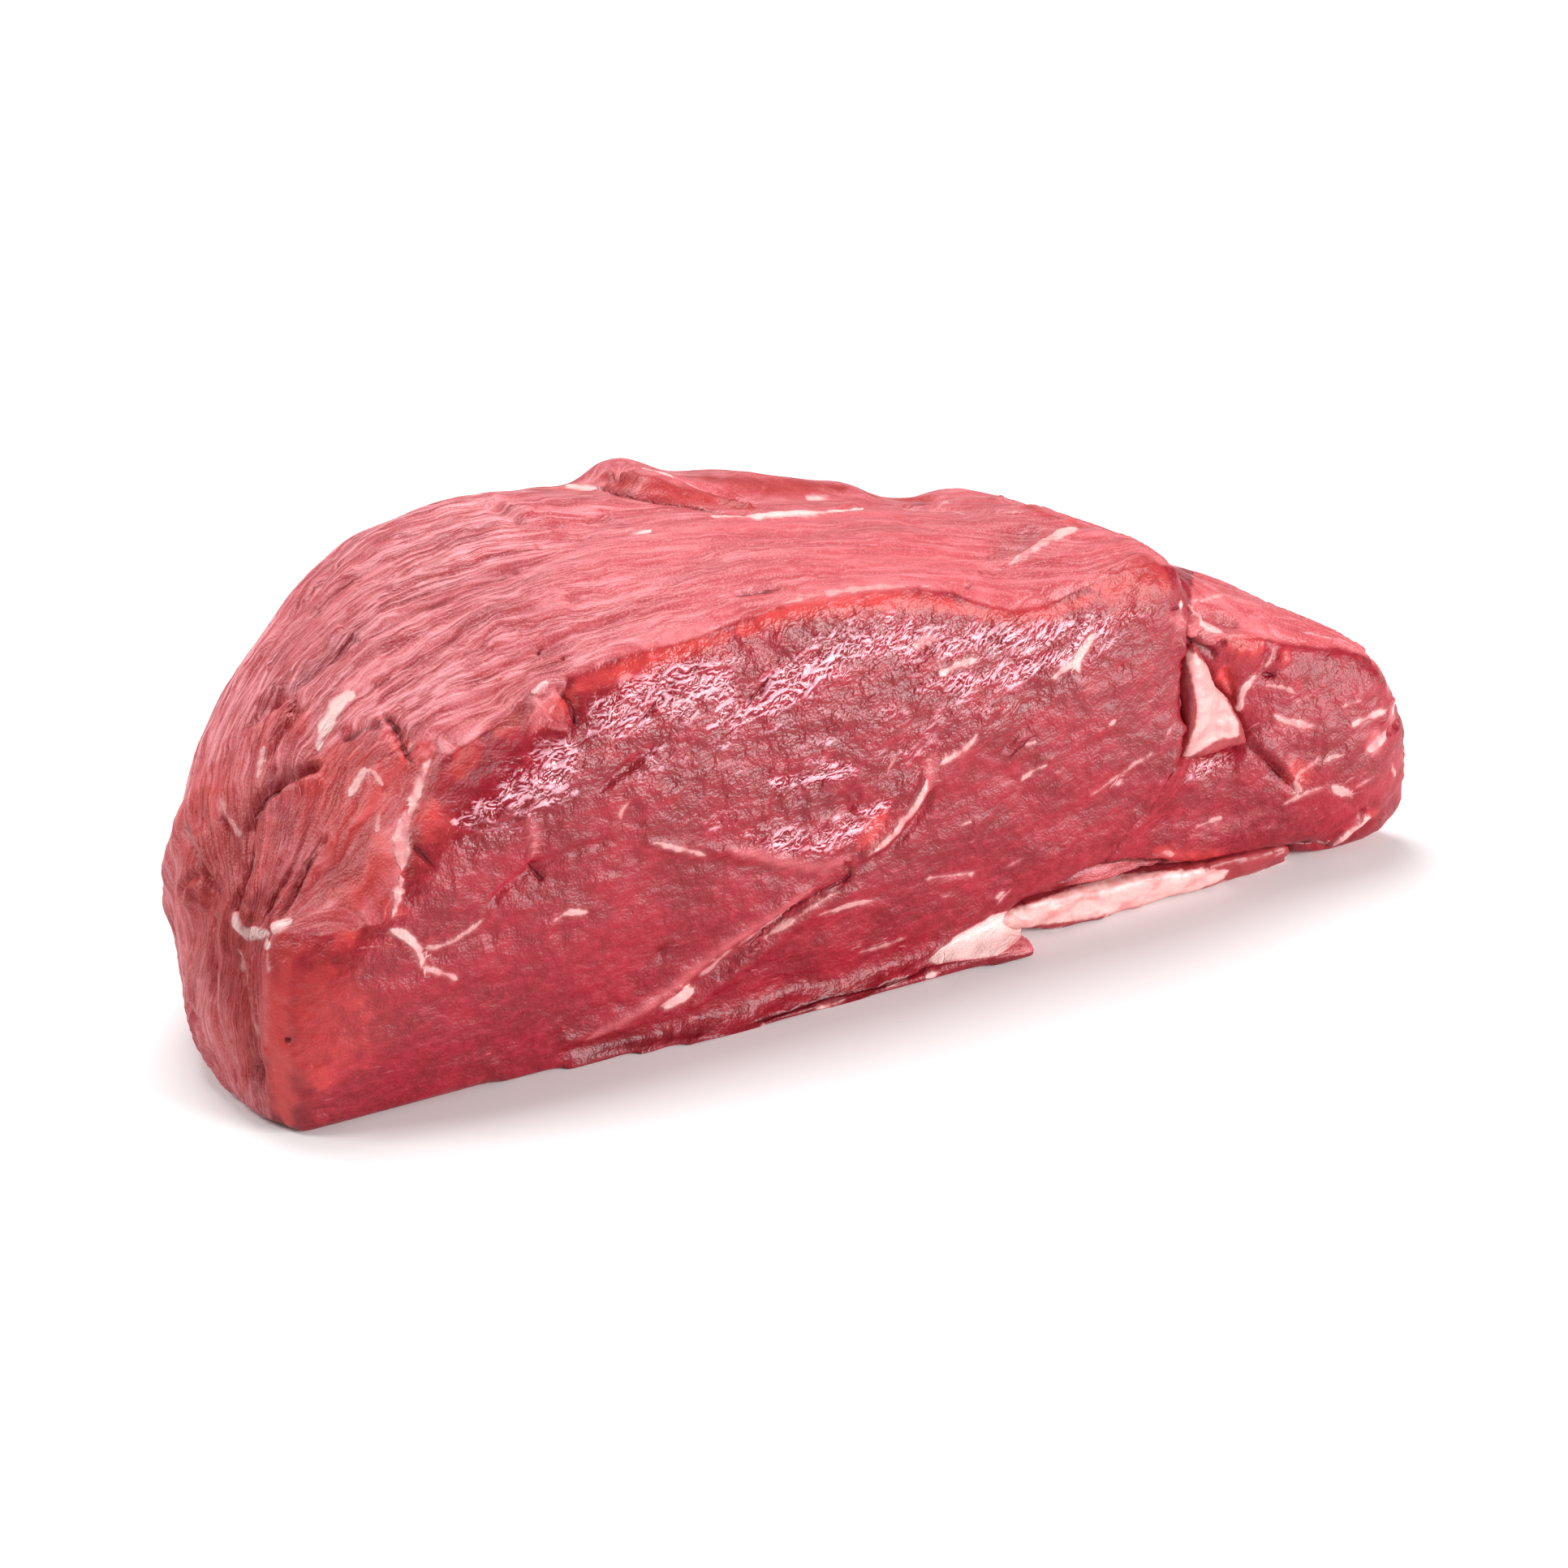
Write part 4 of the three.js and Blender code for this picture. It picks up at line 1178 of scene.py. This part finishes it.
def new_material(name):
    """A material, and the place on the piece in mm for its patterns."""
    made = bpy.data.materials.new(name)
    made.use_nodes = True
    place = add(made.node_tree, "ShaderNodeTexCoord").outputs["Object"]
    return made, vector_math("SCALE", place, 1000.0)


def finish_material(made, all_over, base, rough, relief):
    """Links colour, roughness and relief, and sets the values that are the same all over."""
    tree = made.node_tree
    shader = tree.nodes["Principled BSDF"]
    bump = add(tree, "ShaderNodeBump", {"Height": relief, "Distance": MM, "Strength": 1.0}).outputs[0]
    for name, socket in (("Base Color", base), ("Roughness", rough), ("Normal", bump)):
        tree.links.new(socket, shader.inputs[name])
    for name, value in all_over.items():
        shader.inputs[name].default_value = value
    print("material", made.name, "with", len(tree.nodes), "nodes")
    return made


# %% [markdown]
# Meat is bundles of fibres. A noise texture that is long along the grain and narrow across it
# gives bundles, and a finer copy gives single fibres. The thin line group turns a stored distance
# into a vein or a crack with a ragged edge. The wet film is a crumpled sheet: its height makes the
# glints, and the sides of it that face the light get a painted highlight, paler, as in the photograph.

# %% Node groups for grain, lines, marbling and the wet film
def fibre_group():
    """Bundles of fibres, single fibres, creases and specks, along a grain."""
    group, into = new_group(
        "meat fibres", ("Grain", "Place"), ("Bundle Length", "Bundle Width", "Waviness"),
        ("Bundles", "Fibres", "Creases", "Specks"))
    sway = add(group, "ShaderNodeTexNoise", {
        "Vector": stretched(into["Place"], 11, 11, 8), "Scale": 1.0, "Detail": 1.0}).outputs["Color"]
    sway = vector_math("SUBTRACT", sway, (0.5, 0.5, 0.5))
    grain = vector_math("ADD", into["Grain"], vector_math("SCALE", sway, into["Waviness"]))
    size = add(group, "ShaderNodeCombineXYZ", {
        0: into["Bundle Length"], 1: into["Bundle Width"], 2: 3.0}).outputs[0]
    fitted = vector_math("DIVIDE", grain, size)
    finer = vector_math("MULTIPLY", fitted, (1.8, 2.8, 2.0))
    shifted = vector_math("ADD", fitted, (7.3, 3.1, 5.7))
    bundles = noise_value(fitted, 2, 0.6, 0.3)
    fibres = noise_value(finer, 2, 0.62, 0.3)
    creases = soft_step(off_middle(noise_value(shifted, 1, 0.5, 0.3)), 0.05, 0.0)
    specks = noise_value(stretched(into["Place"], 0.5), 0, 0.6)
    return give_out(group, bundles, fibres, creases, specks)


def line_group():
    """1 inside a stored line, with a ragged edge."""
    group, into = new_group("thin line", ("Line",), ("Rag", "Edge"), ("Mask",))
    away, half_width, strength = add(group, "ShaderNodeSeparateXYZ", {0: into["Line"]}).outputs
    inside = plus(minus(half_width, math_node("ABSOLUTE", away)), into["Rag"])
    mask = soft_step(inside, times(into["Edge"], -1.0), into["Edge"])
    present = soft_step(half_width, 0.0, 0.25)
    return give_out(group, times(times(mask, present), strength))


def marbling_group():
    """Short pale dashes of fat between the fibres."""
    group, into = new_group("marbling", ("Grain",), ("Amount",), ("Mask",))
    dashes = noise_value(stretched(into["Grain"], 5.0, 1.3, 2.0), 2, 0.55, 0.3)
    where = noise_value(stretched(into["Grain"], 30, 16, 20), 0, 0.5)
    level = minus(0.86, times(into["Amount"], 0.1))
    both = plus(dashes, times(where, 0.22))
    return give_out(group, soft_step(both, level, plus(level, 0.06)))


def film_group():
    """A wet film, crumpled like foil: its height in mm, and the sides of it that face the light, for a
    painted highlight.
    """
    group, into = new_group("wet film", ("Grain",), ("Size",), ("Height", "Lit Sides"))
    flow = add(group, "ShaderNodeVectorRotate", {"Vector": into["Grain"], "Angle": -0.3},
               rotation_type="Z_AXIS").outputs[0]
    fitted = vector_math("DIVIDE", flow, vector_math("SCALE", (1.9, 1.0, 1.3), into["Size"]))
    above = vector_math("ADD", fitted, (0.05, 0.22, 0.0))
    here, there = (off_middle(noise_value(at, 1, 0.6, 0.9)) for at in (fitted, above))
    height = times(here, times(into["Size"], 0.5))
    return give_out(group, height, soft_step(minus(here, there), 0.0, 0.09))


fibres_of, thin_line, marbling_of, film_of = fibre_group(), line_group(), marbling_group(), film_group()
print("node groups", [g.name for g in bpy.data.node_groups])

# %% [markdown]
# ## The lean
# One material covers the whole clod, because the cut and the skin run into each other. The stored
# numbers say where each shows. The cut is dark red and wet, with short fibres and white dashes of
# marbling. The skin is duller and pinker, with long pale and dark threads. Two materials with a
# hard edge between them would look glued together.

# %% Patterns of the lean
CUT_BUNDLE = {"Bundle Length": 5.5, "Bundle Width": 2.0, "Waviness": 3.5}  # mm
SKIN_BUNDLE = {"Bundle Length": 20.0, "Bundle Width": 3.3, "Waviness": 5.0}
FILM_LARGE, FILM_SMALL = 3.4, 1.5
LUMP, GRIT = 4.2, 1.4


def lean_patterns(tree, in_mm):
    """The patterns and stored numbers that the lean's colour, gloss and relief share."""
    on = SimpleNamespace(place=in_mm)
    on.fine = noise_value(stretched(in_mm, GRIT), 1)
    on.lumpy = noise_value(stretched(in_mm, LUMP), 1)
    uneven = minus(on.lumpy, 0.5)
    on.skin = soft_step(plus(attribute(tree, "skin"), times(uneven, 0.8)), 0.2, 0.8)
    on.wet, on.warm, on.shade = (attribute(tree, name) for name in ("wet", "warm", "shade"))
    on.crisp = plus(0.3, times(attribute(tree, "wrinkled"), 0.7))
    on.grain = attribute(tree, "grain_cut", "Vector")
    on.cut_fibres = use(tree, fibres_of, {"Grain": on.grain, "Place": in_mm, **CUT_BUNDLE})
    on.skin_fibres = use(tree, fibres_of, {
        "Grain": attribute(tree, "grain_skin", "Vector"), "Place": in_mm, **SKIN_BUNDLE})
    on.marbling = use(tree, marbling_of, {"Grain": on.grain, "Amount": 0.3})["Mask"]
    large, small = (use(tree, film_of, {"Grain": on.grain, "Size": size})
                    for size in (FILM_LARGE, FILM_SMALL))
    on.film = plus(large["Height"], small["Height"])
    on.flakes = larger(large["Lit Sides"], small["Lit Sides"])
    rag = plus(times(minus(on.fine, 0.5), 0.6), times(uneven, 2.0))
    vein, crack = (attribute(tree, name, "Vector") for name in ("vein", "crack"))
    on.vein = use(tree, thin_line, {"Line": vein, "Rag": minus(rag, 0.05), "Edge": 0.35})[0]
    on.vein_glow = use(tree, thin_line, {"Line": vein, "Rag": plus(rag, 0.3), "Edge": 0.9})[0]
    on.crack = use(tree, thin_line, {"Line": crack, "Rag": rag, "Edge": 0.35})[0]
    on.fat_edge = plus(attribute(tree, "fat"), times(rag, 0.2))
    on.fat = larger(soft_step(on.fat_edge, 0.26, 0.6), on.vein)
    on.milk = times(attribute(tree, "milk"), plus(0.5, on.skin_fibres["Fibres"]))
    return on


# %% [markdown]
# The colours come from the photograph. The cut starts deep red and is lightened by bundles, specks
# and marbling; where the film is wet, the sides of its crumples that face the light get a painted
# highlight. The skin starts in a middle pink, deep in the valleys between the bundles and pale on
# their crests: partly the grain of the skin, partly painted shade in the valleys and a painted
# highlight on the crests.

# %% Colours of the lean
LEAN_DEEP, LEAN_MID, LEAN_LIGHT = colour(120, 6, 22), colour(146, 12, 34), colour(170, 36, 54)
SKIN_DEEP, SKIN_MID, SKIN_PALE = colour(148, 42, 50), colour(186, 74, 80), colour(232, 150, 156)
FAT_PINK, FAT_CREAM, FAT_WHITE = colour(210, 128, 130), colour(226, 172, 168), colour(238, 196, 192)
WARM_RED, SHADE_RED = colour(222, 72, 66), colour(84, 18, 22)
# The first pink is the skin's bloom and a painted sheen, the second the painted glints on the wet film.
BLOOM_AND_SHEEN_PINK, PAINTED_GLINT_PINK = colour(206, 104, 110), colour(250, 188, 202)
WARM_TINT = (0.86, 0.38, 0.34, 1.0)


def cut_colour(on):
    clouds = noise_value(stretched(on.place, 15, 15, 12), 2, 0.6)
    drift = noise_value(stretched(on.grain, 7, 3, 4), 1)
    where = plus(on.wet, times(minus(drift, 0.5), 1.6))
    painted_glints = times(on.flakes, soft_step(where, 0.42, 0.95))
    fibres = on.cut_fibres
    return layered(
        blend(soft_step(clouds, 0.34, 0.66), LEAN_DEEP, LEAN_MID),
        (times(soft_step(fibres["Bundles"], 0.46, 0.78), 0.55), LEAN_LIGHT),
        (times(fibres["Creases"], 0.12), LEAN_DEEP),
        (times(soft_step(fibres["Specks"], 0.5, 0.85), 0.3), LEAN_LIGHT),
        (times(on.marbling, 0.45), FAT_PINK),
        (times(soft_step(on.lumpy, 0.52, 0.3), 0.5), LEAN_DEEP),
        (times(soft_step(on.fine, 0.5, 0.75), 0.4), LEAN_LIGHT),
        (times(soft_step(where, 0.5, 0.0), soft_step(on.wet, 0.0, 0.5)), LEAN_DEEP),
        # painted highlight: the lit sides of the wet film's crumples are painted pale
        (times(painted_glints, 0.8), PAINTED_GLINT_PINK),
        (times(on.warm, 0.6), WARM_RED),
    )


def skin_colour(on):
    bundles, fibres, _, specks = on.skin_fibres
    # The threads and bundles are the grain of the skin; where they follow the relief this is also painted
    # light: painted shade in the valleys and the dark threads, a painted highlight on the crests.
    thread_shade = times(soft_step(fibres, 0.44, 0.26), 0.55)
    hide = layered(
        blend(times(soft_step(bundles, 0.56, 0.3), on.crisp), SKIN_MID, SKIN_DEEP),
        (times(soft_step(bundles, 0.48, 0.74), on.crisp), SKIN_PALE),
        (times(soft_step(fibres, 0.44, 0.74), on.crisp), SKIN_PALE),
        (times(thread_shade, on.crisp), SKIN_DEEP),
        (times(soft_step(specks, 0.45, 0.85), 0.3), SKIN_PALE),
    )
    return blend(on.warm, hide, WARM_TINT, "MULTIPLY")


def lean_colour(on):
    fat_glow = larger(on.vein_glow, soft_step(on.fat_edge, 0.1, 0.6))
    fat_tone = blend(soft_step(on.lumpy, 0.35, 0.6), FAT_PINK, FAT_CREAM)
    return layered(
        blend(on.skin, cut_colour(on), skin_colour(on)),
        # bloom of the skin, partly a painted sheen
        (on.milk, BLOOM_AND_SHEEN_PINK),
        (times(on.shade, 0.6), SHADE_RED),
        (times(fat_glow, 0.45), FAT_PINK),
        (on.fat, blend(soft_step(on.fat_edge, 0.45, 0.95), fat_tone, FAT_WHITE)),
        # painted shade in the cracks
        (times(on.crack, 0.6), SHADE_RED),
    )


# %% [markdown]
# Light shows relief better than colour does. The film stands up in its crumples where it is wet,
# the skin in its bundles, fat a little above the lean, and cracks sink. Heights are in mm.

# %% The lean material
ROUGH_DRY, ROUGH_WET = 0.42, 0.19
FAT_STANDS, CRACK_SINKS = 0.25, 0.4  # mm


def lean_relief(on):
    cut_fibres, skin_fibres = on.cut_fibres, on.skin_fibres
    on_cut = plus(plus(times(cut_fibres["Fibres"], 0.12), times(cut_fibres["Specks"], 0.1)),
                  plus(times(on.lumpy, 0.7), times(on.fine, 0.2)))
    on_skin = times(plus(times(skin_fibres["Fibres"], 0.6), times(skin_fibres["Bundles"], 1.2)), on.crisp)
    on_skin = minus(on_skin, times(skin_fibres["Creases"], 0.1))
    on_skin = plus(on_skin, times(skin_fibres["Specks"], 0.12))
    relief = plus(between(on.skin, on_cut, on_skin), times(on.film, on.wet))
    return minus(plus(relief, times(on.fat, FAT_STANDS)), times(on.crack, CRACK_SINKS))


def lean_material():
    made, in_mm = new_material("raw lean meat")
    on = lean_patterns(made.node_tree, in_mm)
    return finish_material(made, {"Specular IOR Level": 0.42}, lean_colour(on),
                           between(on.wet, ROUGH_DRY, ROUGH_WET), lean_relief(on))


clod.data.materials.clear()
clod.data.materials.append(lean_material())

# %% [markdown]
# ## The fat in the seams
# Raw beef fat is firm and waxy, cream with a touch of pink where it meets the lean. In the seam
# beside the end muscle it is a wedge of upright strands; under the piece it is a thick fold that
# bulges out between lean and board. Both are made like the lean: remeshed, smoothed, then folded.

# %% Shape the fat
FAT_VOXEL = 0.9 * MM
FAT_ROUNDS = 10
FAT_GROWS = 0.55  # mm, to close the gap to the lean
FOLDS_CLIMB = 0.06  # mm up for each mm to the right


def fat_piece(node, name, folds):
    obj = merged_copy(node, name)
    remesh(obj, FAT_VOXEL)
    smooth(obj, FAT_ROUNDS)
    at, away = points_of(obj), normals_of(obj)
    grown = FAT_GROWS + folds(at, away)
    grown *= ramp(at[:, 2], 0.2, 1.5)
    moved = np.clip(at + grown[:, None] * away, low, high)
    set_points(obj, moved)
    return obj


def upright_strands(at, away):
    strands = noise_on(scaled(at, (2.6, 4, 14)), 11, 2)
    lumps = noise_on(scaled(at, (7, 7, 9)), 12, 2)
    return 0.45 * strands + 0.5 * lumps


def lying_folds(at, away):
    level = at[:, 2] - FOLDS_CLIMB * at[:, 0]
    folds = noise_on(scaled(np.column_stack((at[:, 0], at[:, 1], level)), (15, 8, 2.6)), 13, 2)
    lumps = noise_on(scaled(at, (9, 7, 5)), 14, 2)
    in_front = ramp(-away[:, 1], 0.2, 0.8)
    return in_front * (1.1 + 0.75 * folds + 0.6 * lumps)


seam_fat = fat_piece("seam_fat", "seam_fat_wedge", upright_strands)
under_fat = fat_piece("under_fat", "under_fat_fold", lying_folds)
print("fat vertices", len(seam_fat.data.vertices), len(under_fat.data.vertices))

# %% [markdown]
# A film of lean still covers part of each piece of fat. The outline of the bare fat comes from
# the photograph, so the cover is red outside it. Faces that the photograph does not see stay bare.

# %% Where lean covers the fat
SEAM_FAT_SHOWS = [
    (1462, 803), (1473, 809), (1483, 819), (1493, 824), (1505, 850), (1514, 874), (1524, 891), (1525, 905),
    (1500, 909), (1478, 923), (1459, 935), (1476, 894), (1478, 870), (1472, 840),
]
for piece, shown, pinkness in ((seam_fat, SEAM_FAT_SHOWS, 0.7), (under_fat, UNDER_FAT_SHOWS, 0.0)):
    at = points_of(piece)
    seen = photo_pixels(at * MM)
    in_view = (normals_of(piece) * (np.array(eye) - at * MM)).sum(axis=1) > 0
    store(piece, "blush", np.full(len(at), pinkness))
    covered = in_view * ramp(-inside_by(seen, shown), -0.4, 1.2)
    store(piece, "lean_over", covered)
    print(piece.name, "covered by lean at", int((covered > 0.5).sum()), "of", len(at), "vertices")

# %% [markdown]
# Fat lets light in a little, so it gets some subsurface scattering, and it is less shiny than the
# wet lean. Faint clouds of pink keep it from looking like wax.

# %% The fat material
WAXY_WHITE, FAT_BLUSH, FAT_RED = colour(220, 176, 172), colour(206, 130, 128), colour(150, 44, 50)


def fat_material():
    made, in_mm = new_material("raw beef fat")
    tree = made.node_tree
    clouds = noise_value(stretched(in_mm, 7, 7, 4), 2)
    fine = noise_value(stretched(in_mm, 1.6), 1)
    edge = plus(attribute(tree, "lean_over"), times(minus(fine, 0.5), 0.7))
    base = layered(
        blend(soft_step(clouds, 0.42, 0.7), WAXY_WHITE, FAT_BLUSH),
        (times(attribute(tree, "blush"), plus(clouds, 0.2)), FAT_BLUSH),
        (times(soft_step(edge, 0.0, 0.5), 0.4), FAT_BLUSH),
        (soft_step(edge, 0.3, 0.8), FAT_RED),
    )
    glow = {"Subsurface Weight": 0.2, "Subsurface Radius": (1.0, 0.5, 0.4), "Subsurface Scale": 0.003}
    relief = plus(times(fine, 0.2), times(clouds, 0.8))
    return finish_material(made, glow, base, plus(0.34, times(clouds, 0.16)), relief)


raw_fat = fat_material()
for piece in (seam_fat, under_fat):
    piece.data.materials.clear()
    piece.data.materials.append(raw_fat)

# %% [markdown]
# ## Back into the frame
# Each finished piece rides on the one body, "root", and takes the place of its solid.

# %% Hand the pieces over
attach(clod, "root")
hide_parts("clod")
for piece, node in ((seam_fat, "seam_fat"), (under_fat, "under_fat")):
    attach(piece, "root")
    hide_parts(node)
